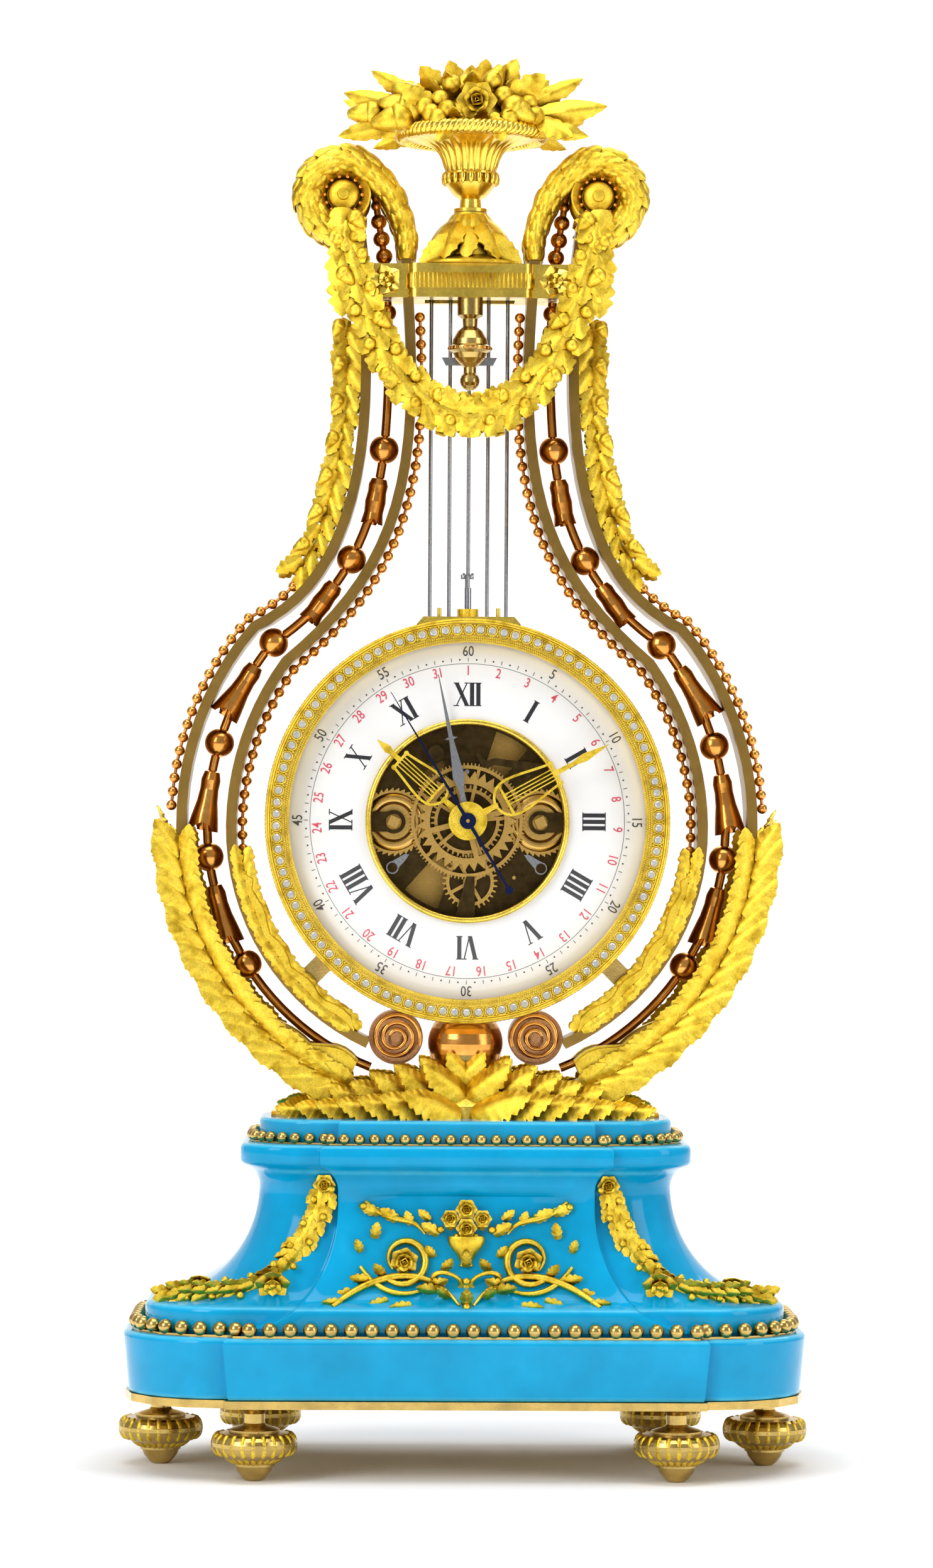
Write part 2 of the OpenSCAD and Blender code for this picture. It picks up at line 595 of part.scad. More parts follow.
// A round rod bent through three points of the front plane
module bent_rod(a, b, c, r) {
  u = b - a;
  v = c - a;
  cross_uv = u.x * v.y - u.y * v.x;
  o = a + [v.y * (u * u) - u.y * (v * v), u.x * (v * v) - v.x * (u * u)] / (2 * cross_uv);
  a0 = atan2(a.y - o.y, a.x - o.x);
  sweep_a = atan2(c.y - o.y, c.x - o.x) - a0;
  turn = sweep_a > 180 ? sweep_a - 360 : sweep_a < -180 ? sweep_a + 360 : sweep_a;
  translate([o.x, 0, o.y]) rotate([90, 0, 0]) rotate([0, 0, min(a0, a0 + turn)])
    rotate_extrude(angle = abs(turn)) translate([norm(a - o), 0]) circle(r);
}
module string_rod(s0, s1) bent_rod(point_at(string_path, string_run, s0),
  point_at(string_path, string_run, (s0 + s1) / 2), point_at(string_path, string_run, s1), husk_rod_r);
module husk_strings() color("gold") both_sides() difference() {
  upper_foot = [mid_path[len(mid_path) - 3].x, z_yoke_top];
  upper_head = eye + polar(eye_r + 1.9, 172);
  upper = upper_head - upper_foot;
  inside = 0.4 * husk_ball_r;
  union() {
    for (i = [0:5]) on_string(first_ball + ball_pitch * i) sphere(husk_ball_r);
    for (i = [0:4]) on_string(first_ball + ball_pitch * i + 12.5)
      husk(husk_l * (i < 2 ? 0.78 : 1), i < 2 ? 5 : 7);
    for (i = [0:3]) on_string(5 + 8.4 * i) sphere(3.9, $fn = 32);
    string_rod(0, first_ball - inside);
    for (i = [0:4]) string_rod(first_ball + ball_pitch * i + inside, first_ball + ball_pitch * (i + 1) - inside);
    string_rod(first_ball + ball_pitch * 5 + inside, last_of(string_run));
    for (q = [[4.6, 3.7], [12.4, 3.7], [20.2, 3.5], [27.4, 2.4]])
      let (p = upper_foot + upper * q[0] / norm(upper))
      translate([p.x, 0, p.y]) sphere(q[1], $fn = 32);
    strut([upper_foot.x, 0, upper_foot.y + 0.5], [upper_head.x, 0, upper_head.y], 1.5);
  }
  rod(scroll_c.x, scroll_c.y, scroll_r, [-20, 20]);
}

// Acanthus that wraps the outer bands from the mound up to the dial's centre line
casing_a = [-65.5, -6];
function casing_outline(trim) = concat(
  [for (i = [0:33]) let (a = mix(casing_a[0], casing_a[1], i / 33), lobe = abs(sin(180 * i / 33 * 5.5)))
    outer_c + polar(outer_band_r + 4.6 + 4.6 * lobe * min(1, (i + 6) / 18) + max(0, i - 31) * 2.4 - trim, a)],
  [for (i = [33:-1:0]) let (a = mix(casing_a[0], casing_a[1], i / 33), lobe = abs(sin(180 * i / 33 * 5.5)))
    outer_c + polar(outer_band_r + min(0.8, 0.8 + (a + 35) * (0.4 + 0.14 * lobe)) + trim, a)]);
module leaf_casings() color("gold") difference() {
  both_sides() {
    slab([-band_y - 1.5, band_y + 1.5]) polygon(casing_outline(0));
    slab([-band_y - 3.4, band_y + 3.4]) polygon(casing_outline(1.3));
  }
  outer_band_pair();
  both_sides() slab([-husk_ball_r - 1, husk_ball_r + 1]) translate(outer_c) circle(outer_band_r - band_t / 2);
}

// Acanthus along the inside of the inner bands, behind the swinging ring
module inner_leaves() color("gold") difference() {
  both_sides() skin([for (i = [0:20]) let (
      a = mix(-61, -11, i / 20),
      lobe = abs(sin(180 * i / 20 * 4.5)),
      w = (i == 0 || i == 20) ? 0.8 : 2.6 + 1.8 * lobe
    )
    section(inner_c + polar(inner_band_r - band_t / 2 - w + 0.8, a), polar(1, a + 90), w, -10.2, 3.8)]);
  inner_band_pair();
  both_sides() rod(scroll_c.x, scroll_c.y, scroll_r + clear, [-20, 20]);
}

// Volutes: a roll of overlapping leaves round a sunk disc with a boss
module volutes() color("gold") both_sides() difference() {
  n = len(volute_path);
  union() {
    sweep(volute_path, [for (i = [0:n - 1]) let (u = i / (n - 1), scale = (u * 11) % 1)
      roll_t / 2 * (0.86 + 0.2 * scale) * min(1, 0.55 + u * 2.2)], 0, 14.2);
    eye_boss();
  }
  outer_band_pair();
  inner_band_pair();
}
module eye_boss() {
  hull() for (y = [-8, 8]) translate([eye.x, y, eye.y]) rotate([90, 0, 0])
    cylinder(r = eye_r, h = 0.1, center = true, $fn = 24);
  for (s = [-1, 1]) {
    hull() {
      translate([eye.x, s * 8, eye.y]) rotate([90, 0, 0]) cylinder(r = 6.6, h = 1, center = true, $fn = 12);
      translate([eye.x, s * 12, eye.y]) rotate([90, 0, 0]) cylinder(r = 4.4, h = 1, center = true, $fn = 12);
    }
    hull() {
      translate([eye.x, s * 12, eye.y]) rotate([90, 0, 0]) cylinder(r = 4.4, h = 1, center = true, $fn = 12);
      translate([eye.x, s * (eye_tip - 1.6), eye.y]) sphere(1.6, $fn = 6);
    }
  }
}

// Oak leaves and acorns down the outside of the outer bands, below the yoke
module leaf_drops() color("gold") difference() {
  path = reversed(stretch(beside(outer_path, band_t / 2 + 5.2), z_dial + 118, z_yoke + 2));
  both_sides() for (i = [0:7]) let (
      s = stations(path, 13.5)[min(i, 7)],
      side = i % 2 == 0 ? 1 : -1
    ) {
      leaf(s[0] - polar(5, s[1]), -9 - side, s[1] + 10 * side, 20, 6.6, 3, 2.4);
      if (side > 0) acorn(s[0] + polar(5.2, s[1] + 62), -8, s[1] + 40, 2.9);
    }
  outer_band_pair();
}

// Swag of leaves and berries, hung from the volutes in front of the yoke
swag_y = -20.5;
swag_path = bezier(eye + [-1.5, -13], eye + [-6.5, -58], [30, z_yoke - 51.5], [0, z_yoke - 51.5], 18);
module swag() color("gold") {
  s = stations(swag_path, 18);
  n = len(s) - 1;
  both_sides() {
    for (i = [1:n]) let (w = 7.6 + 2.4 * i / n, a = s[i][1], side = i % 2 == 0 ? 1 : -1) {
      leaf(s[i][0] - polar(13, a), swag_y, a + 24 * side, 28, w, 3.4, 2.6);
      acorn(s[i][0] + polar(4, a - 90 * side), swag_y - 2.6, a - 40 * side, 3.2);
    }
    sweep([for (q = s) q[0]], [for (i = [0:n]) 2.6 + 3 * i / n], swag_y, 2.6);
    leaf([neck_out_x + 6, z_yoke + 5], swag_y, -84, 30, 7.4, 3.2, 1);
    slab([swag_y, -eye_tip - seat]) {
      polygon(ribbon([eye, eye + [-0.5, -16]], 6.5));
      translate(eye) circle(3.8, $fn = 12);
    }
  }
  acorn([0, z_yoke - 46], swag_y - 2.6, -90, 3.8);
}

// Yoke: a bowed collar that holds the four bands, hollow for the pendulum
yoke_half_w = neck_out_x + 1;
module yoke() color("gold") {
  difference() {
    union() {
      translate([0, 0, z_yoke]) linear_extrude(yoke_h) yoke_plan();
      translate([0, 0, z_yoke + 3.8]) linear_extrude(yoke_h - 8.6) offset_plan(0.7);
    }
    translate([-yoke_bow_half_w + 8, rod_y0 - 7, z_yoke - 1]) 
      cube([2 * yoke_bow_half_w - 16, 13.5, yoke_h - 1.9]);
    both_sides() {
      band(inner_path, 0.02);
      band(outer_path, 0.02);
      translate([mid_path[len(mid_path) - 4].x, 0, z_yoke - 1]) cylinder(r = husk_rod_r + seat, h = 3);
    }
  }
  rod(0, pivot_z, pivot_r, [rod_y0 - 7, rod_y0 + 6.5]);
}
module yoke_plan() {
  translate([-yoke_half_w, -14]) square([2 * yoke_half_w, 14 + yoke_y[1]]);
  offset_plan(0);
}
module offset_plan(out) {
  r = 5;
  for (sx = [-1, 1]) translate([sx * (yoke_bow_half_w - r), yoke_y[0] + r]) circle(r + out);
  translate([-yoke_bow_half_w + r, yoke_y[0] - out]) square([2 * (yoke_bow_half_w - r), 12]);
  translate([-yoke_bow_half_w - out, yoke_y[0] + r]) square([2 * (yoke_bow_half_w + out), 10]);
}

module rosettes() color("gold") both_sides() {
  c = [37.3, z_yoke + yoke_h / 2];
  for (i = [0:4]) let (p = c + polar(4.3, 90 + 72 * i)) rod(p.x, p.y, 3, [-15.4, -14]);
  turned_y(c.x, c.y, [[0, -14], [2.8, -14], [2.8, -15.6], [2, -17], [0.8, -17.6], [0, -17.6]]);
}

drop_y = -10;
module drop_finial() color("darkorange") translate([0, drop_y, z_yoke]) turned(concat(
  [[0, 0], [5.7, 0], [5.7, -7.5], [3.4, -9], [3.2, -12.5], [5.6, -14.5], [7.6, -18], [8, -20.5],
    [9.4, -21.3], [9.5, -22.2], [9.4, -23], [7.5, -24.2], [6.6, -26.5], [4.8, -28.6], [2.8, -30.5]],
  [for (a = [50:-20:-90]) [4.4 * cos(a), -36.5 + 4.4 * sin(a)]]));

// Acanthus stem under the basket: lobed leaves gathered round a column
stem_c = -1;
stem_rings = [[24.5, 0], [19, 0.07], [14.5, 0.2], [11.5, 0.34], [9, 0.5], [7.8, 0.7], [7.2, 0.88], [7.2, 1]];
module finial_stem() color("gold") difference() {
  union() {
    skin([for (q = stem_rings) [for (j = [0:23]) let (
        a = 15 * j,
        lobes = 1 - (j % 3 == 0 ? 0.14 : 0) * min(1, q.x / 14)
      )
      [q.x * lobes * cos(a), stem_c + min(q.x, 14 + q.x * 0.1) * lobes * sin(a),
        z_yoke_top + (stem_h - 0.5) * q.y]]]);
    leaf([0, z_yoke_top + 15], -11.5, -90, 19.5, 7.5, 4, 5.5, 0.18);
    for (s = [-1, 1]) leaf([s * 3, z_yoke_top + 13], -10, 270 + s * 58, 24, 6, 4, 3, 0.2);
  }
  translate([0, 0, z_yoke]) linear_extrude(yoke_h) union() {
    yoke_plan();
    offset_plan(0.9);
  }
}

// Turned cup, gadroon and fluted basket under a thick rim
module basket() color("darkorange") translate([0, stem_c, z_basket]) difference() {
  k = basket_h / 38;
  bowl = rim_r - 8.5;
  turned(concat(
    [[0, 0], [7.5, 0], [7.5, 1.2 * k], [4.9, 2 * k], [4.7, 5 * k], [7.5, 7.4 * k], [10.5, 11 * k]],
    [for (a = [-60:30:60]) [10.4 + 2.2 * cos(a), 15 * k + 3 * k * sin(a)]],
    [[10.5, 18.6 * k], [13, 23.5 * k], [19, 28 * k], [bowl, 31.2 * k]],
    [for (a = [-100:25:100]) [rim_r - 3.4 + 3.4 * cos(a), basket_h - 3.4 + 3.4 * sin(a)]],
    [[rim_r - 6, basket_h - 1], [rim_r - 8, basket_h - 4], [0, basket_h - 4]]));
  for (i = [0:19]) rotate(18 * i)
    strut([12.6, 0, 18.9 * k], [bowl + 2, 0, 30.6 * k - 1.2], 1.1);
}

// Bouquet: leaves, a rose, buds and berries on a low dome
module bouquet() color("gold") difference() {
  union() {
    translate([0, stem_c, z_rim - 1]) scale([1, 0.95, 0.75]) sphere(rim_r - 8, $fn = 12);
    for (b = bouquet_leaves) leaf([b[0], z_rim + b[1]], b[2], b[3], b[4], b[5], 3, b[6]);
    for (b = bouquet_buds) acorn([b[0], z_rim + b[1]], b[2], b[3], b[4]);
    for (b = bouquet_berries) berry([b[0], z_rim + b[1]], b[2], b[3]);
    flower([2, z_rim + 9], -25, 10.5);
    flower([-2, z_rim + 12], 16, 9);
  }
  translate([0, stem_c, z_rim - basket_h]) cylinder(r = rim_r - 8, h = basket_h - 4);
  translate([0, stem_c, z_rim - 3.4]) rotate_extrude($fn = 32) translate([rim_r - 3.4, 0]) circle(3.7, $fn = 12);
  translate([0, stem_c, z_rim - basket_h]) difference() {
    cylinder(r = rim_r, h = basket_h - 2);
    cylinder(r = rim_r - 8.2, h = basket_h);
  }
}
// Leaves as x, height over the rim, depth, heading, length, half width, curl
bouquet_leaves = [
  [-24, 2, -14, 196, 42, 6, -2], [-20, 6, -12, 172, 42, 7, 2], [-20, 10, -8, 155, 30, 6.5, 3],
  [-18, 4, -16, 214, 38, 6, 4], [22, 5, -12, 6, 42, 7, 2], [20, 9, -8, 24, 34, 7, 3],
  [20, 2, -16, -14, 34, 6, 4], [-8, 12, -6, 128, 24, 6, 3], [-4, 14, -4, 104, 17, 5.5, 2],
  [4, 14, -6, 82, 17, 5.5, 2], [10, 14, -8, 58, 20, 6, 3], [14, 10, -14, 40, 24, 5.5, 4],
  [-22, 6, 10, 168, 38, 6.5, -3], [22, 6, 10, 12, 38, 6.5, -3], [2, 12, 8, 92, 20, 6, -2]];
// Buds as x, height, depth, heading, radius
bouquet_buds = [[-28, 5, -18, 190, 5], [41, 2.5, -8, 0, 5.6], [8, 17, -14, 60, 5.6], [20, 5, -22, 330, 5.2],
  [-26, 8, 4, 170, 4.4], [30, 8, 4, 20, 4.4]];
// Berries as x, height, depth, radius
bouquet_berries = [[-18, 2, -24, 3.4], [-11, 4, -25, 3.6], [-14, 9, -20, 3.2], [-3, 17.5, -13, 3.6],
  [14, 11, -20, 3], [28, 3, -18, 3.4], [-24, 12, -10, 3]];

// Depth of the pedestal's face at a point [x, z] of the front: panel, block or end
face_levels = concat([for (z = [z_lip, z_body - 2]) [z, with_block(lip_plan, z)]],
  [for (z = body_levels) [z, body_plan(z)]],
  [[z_neck, body_plan(z_neck - 0.5)], [z_neck + cornice_h * 0.4, mix(neck_plan, cornice_plan, 0.42)]]);
function plan_front(q, x) = let (over = max(0, x - (q[0] - q[2])))
  x < q[3] ? -q[4] : -(q[1] - q[2] + sqrt(max(0, q[2] * q[2] - over * over)));
function in_panel(x, z) = z > z_body && z < z_neck - 1
  && x < lookup(z, [for (l = panel_levels) [l, panel_edge(l)]]);
function plan_at(z) = let (
    k = max([for (i = [0:len(face_levels) - 2]) if (i == 0 || face_levels[i][0] <= z) i]),
    a = face_levels[k],
    b = face_levels[k + 1]
  )
  mix(a[1], b[1], min(1, max(0, (z - a[0]) / (b[0] - a[0]))));
function face_y(p) = let (x = abs(p.x))
  in_panel(x, p.y) ? lookup(p.y, [for (l = panel_levels) [l, panel_y(l)]])
    : plan_front(plan_at(p.y), x);

// Depth at which a ball of radius r comes to rest on that face, with a small gap
function rest_y(p, r) = min([for (k = [0:0.1:1]) for (a = [0:15:345])
  face_y(p + polar(k * r, a)) - r * sqrt(1 - k * k)]) - laid_gap;
laid_gap = 0.35;
module laid(pts, w, t) skin([for (k = [0:len(pts) - 1]) let (
    q = pts[k],
    d = direction(pts, k),
    h = w[k] * [-d.y, d.x]
  )
  [for (e = [[q - h, laid_gap], [q, laid_gap - 0.08], [q + h, laid_gap],
      [q, laid_gap + max(0.6, t * w[k] / max(w))]])
    [e[0].x, face_y(e[0]) - e[1], e[0].y]]]);
module laid_leaf(p, a, l, w, t = 3) laid([for (k = [0:4]) p + l * k / 4 * polar(1, a)],
  [for (k = [0:4]) max(0.5, w * sin(25 + 37 * k) * (1 - 0.22 * (k % 2)))], t);
module laid_acorn(p, a, r)
  laid([for (u = [-0.8, 0, 1.4]) p + r * u * polar(1, a)], [0.5 * r, r, 0.3 * r], 1.4 * r);
module laid_arc(c, r, a0, a1, w, n)
  laid([for (i = [0:n]) c + polar(r, mix(a0, a1, i / n))], [for (i = [0:n]) w], 1.5 * w);
// A five-petalled flower on the same face, from pairs of [radius, rise]
module laid_flower(p, r) skin([for (ring = [[0.45, 0], [0.95, 0.14], [1, 0.3], [0.42, 0.4], [0.2, 0.62]])
  [for (j = [0:9]) let (q = p + r * ring[0] * (j % 2 == 1 && ring[0] > 0.5 ? 0.66 : 1) * polar(1, 90 + 36 * j))
    [q.x, face_y(q) - laid_gap - r * ring[1], q.y]]]);

// Gilt applique in the sunk panel: flower vase, ribbon, ring scrolls and acanthus
module panel_mount() color("gold") {
  mid = z_body + 20;
  both_sides() {
    laid_arc([27, mid], 10.5, -20, 320, 2.1, 8);
    laid_arc([32, z_neck - 16], 12.5, 62, 190, 1.6, 5);
    laid_arc([40, z_body + 6], 20, 100, 182, 2, 4);
    laid_flower([27, mid], 9);
    laid_leaf([8, mid - 6], -12, 30, 5);
    laid_leaf([30, mid - 8], 16, 16, 4);
    laid_leaf([2, z_neck - 17], 16, 34, 3.6);
    laid_leaf([1, mid - 4], 30, 17, 4.6, 4);
    laid_acorn([38.5, z_neck - 9], 20, 2.6);
  }
  laid_acorn([0, mid - 5], 90, 4.8);
  laid_acorn([0, z_neck - 15], 90, 6);
  laid_flower([0, z_neck - 9], 6);
  laid_leaf([0, mid - 2], -90, 15, 5, 4);
}

// Garlands on the shoulders of the pedestal: rounded blossoms laid close together,
// as x, height over the plinth and radius, with a large one at the bend
garland_blossoms = [[63, 60, 3.4], [67.2, 53.4, 3.9], [71.6, 46, 4.3], [76.3, 38.4, 4.3], [83, 28.6, 6.2],
  [93.6, 23.6, 3.9], [102.2, 22.6, 4.3], [112, 22.8, 5], [122, 20, 4.8]];
module corner_garlands() color("gold") both_sides()
  for (b = garland_blossoms) let (p = [b[0], z_plinth + plinth_h + b[1]])
    translate([p.x, rest_y(p, b[2]), p.y]) sphere(b[2], $fn = 48);

// Dial: a dished enamel ring with an open centre
function dial_front(r) = dial_y + dial_dish * (r * r - dial_hole_r * dial_hole_r)
  / (dial_r * dial_r - dial_hole_r * dial_hole_r);
days = 31;
dial_steps = [for (i = [0:6]) mix(dial_hole_r, dial_r, i / 6)];
module dial() color("white") turned_y(0, z_dial, concat(
  [for (r = dial_steps) [r, dial_front(r)]],
  [for (r = reversed(dial_steps)) [r, dial_front(r) + dial_t]]));

// Gilt plate behind the enamel, with four short feet that carry it
bezel_wall = 1.2;
module dial_plate() color("darkgoldenrod") {
  foot_at = 60;
  slab(dial_plate_y) translate([0, z_dial]) difference() {
    circle(plate_r + 8);
    circle(dial_hole_r - bezel_wall - seat);
  }
  for (a = [45:90:315]) let (p = [0, z_dial] + polar(foot_at, a))
    rod(p.x, p.y, 1.6, [dial_front(foot_at) + dial_t + seat, dial_plate_y[0]]);
}
module rope_bezel() color("gold") {
  wall = dial_hole_r - seat;
  turned_y(0, z_dial, [[wall - bezel_wall, dial_plate_y[0]], [wall, dial_plate_y[0]],
    [wall, dial_y - rope_r], [wall - bezel_wall, dial_y - rope_r]]);
  turned_y(0, z_dial, [for (a = [0:20:340]) [wall, dial_y - rope_r - 0.05] + polar(rope_r, a)]);
}

// The jewelled ring, its stones and the platform that hangs it from the rods
channel_r = ring_r - 2.6;
channel_y = ring_y[0] + 1.8;
z_platform = z_dial + ring_r + 0.7;
module pendulum_ring() color("gold") {
  inner = ring_r - ring_w;
  difference() {
    union() {
      turned_y(0, z_dial, [[inner, ring_y[1]], [ring_r, ring_y[1]], [ring_r, ring_y[0] + 0.6],
        [ring_r - 0.6, ring_y[0]], [ring_r - 1.8, ring_y[0]], [channel_r, ring_y[0] + 0.8],
        [inner + 0.4, ring_y[0] + 0.8], [inner, ring_y[0] + 1.4]]);
      slab([ring_y[0], rod_y0 + 5]) polygon([for (p = [[-20, 0], [-23, -3.4], [23, -3.4], [20, 0]])
        [p.x, z_platform + p.y]]);
    }
    turned_y(0, z_dial, [[channel_r, ring_y[0] - 1], [channel_r, channel_y],
      [channel_r - 2 * stone_r - 0.4, channel_y], [channel_r - 2 * stone_r - 0.4, ring_y[0] - 1]]);
  }
  for (x = [-13, 13]) translate([x, ring_y[0] + 6, z_platform - 0.5]) cylinder(r = 0.9, h = 4.5);
}
module brilliants() color("white") for (i = [0:stone_count - 1]) {
  p = [0, z_dial] + polar(channel_r - stone_r - 0.2, 90 + 360 * i / stone_count);
  translate([p.x, channel_y, p.y]) rotate([90, 0, 0])
    cylinder(r1 = stone_r, r2 = stone_r * 0.55, h = 1.7, $fn = 32);
}

// Gridiron: five rods with two crosspieces, hung from the pin in the yoke
pivot_z = z_yoke + 8.5;
pivot_r = 1.3;
thread_r = 1.5;
thread_l = 14;
module crosspiece(z, h, low, high) slab([rod_y0 - 2, rod_y0 + 2])
  polygon([[-low, z], [low, z], [high, z + h], [-high, z + h]]);
module gridiron() color("silver") difference() {
  union() {
    for (i = [-2:2]) translate([i * grid_pitch, rod_y0, z_platform])
      cylinder(r = grid_rod_r, h = pivot_z - 4 - z_platform);
    translate([0, rod_y0, z_platform]) cylinder(r = thread_r, h = thread_l);
    crosspiece(pivot_z - 6, 2.6, 2 * grid_pitch + 1.5, 2 * grid_pitch + 1.5);
    crosspiece(z_yoke - 28.5, 3.5, grid_pitch + 2, grid_pitch + 3.8);
    crosspiece(z_yoke - 55, 4.5, 2 * grid_pitch - 2.6, 2 * grid_pitch - 1);
    slab([rod_y0 - 2, rod_y0 + 2]) translate([-2.4, pivot_z - 4]) square([4.8, 4]);
    rod(0, pivot_z, 3.1, [rod_y0 - 2, rod_y0 + 2]);
  }
  rod(0, pivot_z, pivot_r + run_fit, [rod_y0 - 3, rod_y0 + 3]);
}
module rating_nut() color("gold") translate([0, rod_y0, z_platform + 0.1]) difference() {
  cylinder(r = 4.7, h = 4.4);
  translate([0, 0, -1]) cylinder(r = thread_r + run_fit, h = 7);
  for (i = [0:23]) rotate(15 * i) translate([4.9, 0, -1]) cylinder(r = 0.32, h = 7, $fn = 16);
}

// Gears: module, tooth counts and the arbors that they turn on
arbor_r = 0.8;
pipe_r = [1.5, 2.2, 3];
cannon_n = 40;
minute_n = 30;
minute_pinion_n = 6;
hour_n = 96;
minute_at = [1.5, -27];
motion_a = atan2(minute_at.y, minute_at.x);
cannon_m = 2 * norm(minute_at) / (cannon_n + minute_n);
hour_m = 2 * norm(minute_at) / (minute_pinion_n + hour_n);
great_n = 80;
third_pinion_n = 10;
third_n = 60;
fourth_pinion_n = 8;
fourth_n = 64;
escape_pinion_n = 8;
great_m = 0.6;
third_m = 0.5;
fourth_m = 0.45;
wind_at = [wind_x, -0.5];
fourth_a = -60;
fourth_at = polar((fourth_n + escape_pinion_n) * fourth_m / 2, fourth_a);
third_reach = (third_n + fourth_pinion_n) * third_m / 2;
great_reach = (great_n + third_pinion_n) * great_m / 2;
third_at = meeting(fourth_at, third_reach, wind_at, great_reach);
escape_r = 14.5;
anchor_at = [0, 22];
fork_z = z_platform + thread_l + 6;

// The lower point at two given distances from two centres
function meeting(a, ra, b, rb) =
  let (d = b - a, l = norm(d), u = d / l, s = (ra * ra - rb * rb + l * l) / (2 * l),
    h = sqrt(ra * ra - s * s))
  a + s * u + h * [u.y, -u.x];
function from_to(a, b) = atan2(b.y - a.y, b.x - a.x);
function wheel_teeth(n, m, turn) = gear_points(n, m, 0.8, 0.95, 1.2, turn);
function pinion_leaves(n, m, turn) = gear_points(n, m, 0.62, 0.7, 1.35, turn);

module wheel(at, y, n, m, turn, hub, spokes)
  slab(y) translate([at.x, z_dial + at.y]) difference() {
    polygon(wheel_teeth(n, m, turn));
    crossed(hub, n * m / 2 - 1.2 * m - 1.5, spokes, 1.5, turn + 20);
  }
module pinion(at, y, n, m, turn) slab(y) translate([at.x, z_dial + at.y]) polygon(pinion_leaves(n, m, turn));
module arbor(at, r, y) rod(at.x, z_dial + at.y, r, y);
between = [front_plate_y[0], back_plate_y[1]];

module escape_wheel() color("goldenrod") {
  arbor([0, 0], arbor_r, [seconds_y, back_plate_y[1]]);
  pinion([0, 0], [18.8, 20.6], escape_pinion_n, fourth_m, fourth_a + 180 / escape_pinion_n);
  slab([21.4, 22.4]) translate([0, z_dial]) difference() {
    polygon([for (i = [0:59]) each [polar(escape_r - 1.2, 6 * i), polar(escape_r, 6 * i + 0.6),
      polar(escape_r, 6 * i + 1.4), polar(escape_r - 1.2, 6 * i + 2.4)]]);
    crossed(3, escape_r - 2.6, 5, 1.2);
  }
}
module fourth_wheel() color("goldenrod") {
  arbor(fourth_at, arbor_r, between);
  wheel(fourth_at, [19.2, 20.2], fourth_n, fourth_m, fourth_a + 180, 3, 5);
  pinion(fourth_at, [15.9, 18], fourth_pinion_n, third_m,
    from_to(third_at, fourth_at) + 180 + 180 / fourth_pinion_n);
}
module third_wheel() color("goldenrod") {
  arbor(third_at, arbor_r, between);
  wheel(third_at, [16.4, 17.4], third_n, third_m, from_to(third_at, fourth_at), 3, 5);
  pinion(third_at, [0.4, 3.6], third_pinion_n, great_m,
    from_to(wind_at, third_at) + 180 + 180 / third_pinion_n);
}
wind_r = 2.5;
module barrel(side) {
  at = [side * wind_at.x, wind_at.y];
  turn = side > 0 ? from_to(wind_at, third_at) : 0;
  difference() {
    union() {
      slab([barrel_y[0], barrel_y[0] + 2]) translate([at.x, z_dial + at.y])
        polygon(wheel_teeth(great_n, great_m, turn));
      arbor(at, 17, barrel_y);
      arbor(at, 18, [barrel_y[1] - 1.2, barrel_y[1]]);
    }
    arbor(at, wind_r + run_fit, [barrel_y[0] - 1, barrel_y[1] + 1]);
  }
}
module time_barrel() color("goldenrod") barrel(1);
module strike_barrel() color("goldenrod") barrel(-1);

// Winding arbor with its square, ratchet wheel and domed cover ring
module winding_arbor(side) {
  at = [side * wind_at.x, wind_at.y];
  y1 = ratchet_y[0];
  arbor(at, wind_r, [y1, back_plate_y[1]]);
  slab([-16, y1 + 0.2]) translate([at.x, z_dial + at.y]) rotate(25 * side)
    square(square_size, center = true);
  slab(ratchet_y) translate([at.x, z_dial + at.y]) polygon([for (i = [0:35]) each [
    polar(ratchet_r - 1.5, side * 10 * i), polar(ratchet_r, side * (10 * i + 8.6)),
    polar(ratchet_r - 0.3, side * (10 * i + 9.4))]]);
  turned_y(at.x, z_dial + at.y, concat([[7.6, y1 + 0.3], [7.6, y1]],
    [for (a = [180:-20:0]) [10.4 + 2.6 * cos(a), y1 - 1.9 * sin(a)]], [[13, y1 + 0.3]]));
}
module right_winding_arbor() color("goldenrod") winding_arbor(1);
module left_winding_arbor() color("goldenrod") winding_arbor(-1);

click_at = [33, -20.8];
click_r = 1.2;
module click(side) mirror([side < 0 ? 1 : 0, 0, 0]) difference() {
  tip = wind_at + polar(ratchet_r + clear + 0.2, -116);
  slab(ratchet_y) translate([0, z_dial]) union() {
    translate(click_at) circle(2.8);
    polygon([tip, tip + [1.6, -2.4], click_at + [-0.5, -2.7], click_at + [1, 2.4], tip + [2, 0.2]]);
  }
  arbor(click_at, click_r + run_fit, [ratchet_y[0] - 1, ratchet_y[1] + 1]);
}
module right_click() color("silver") click(1);
module left_click() color("silver") click(-1);

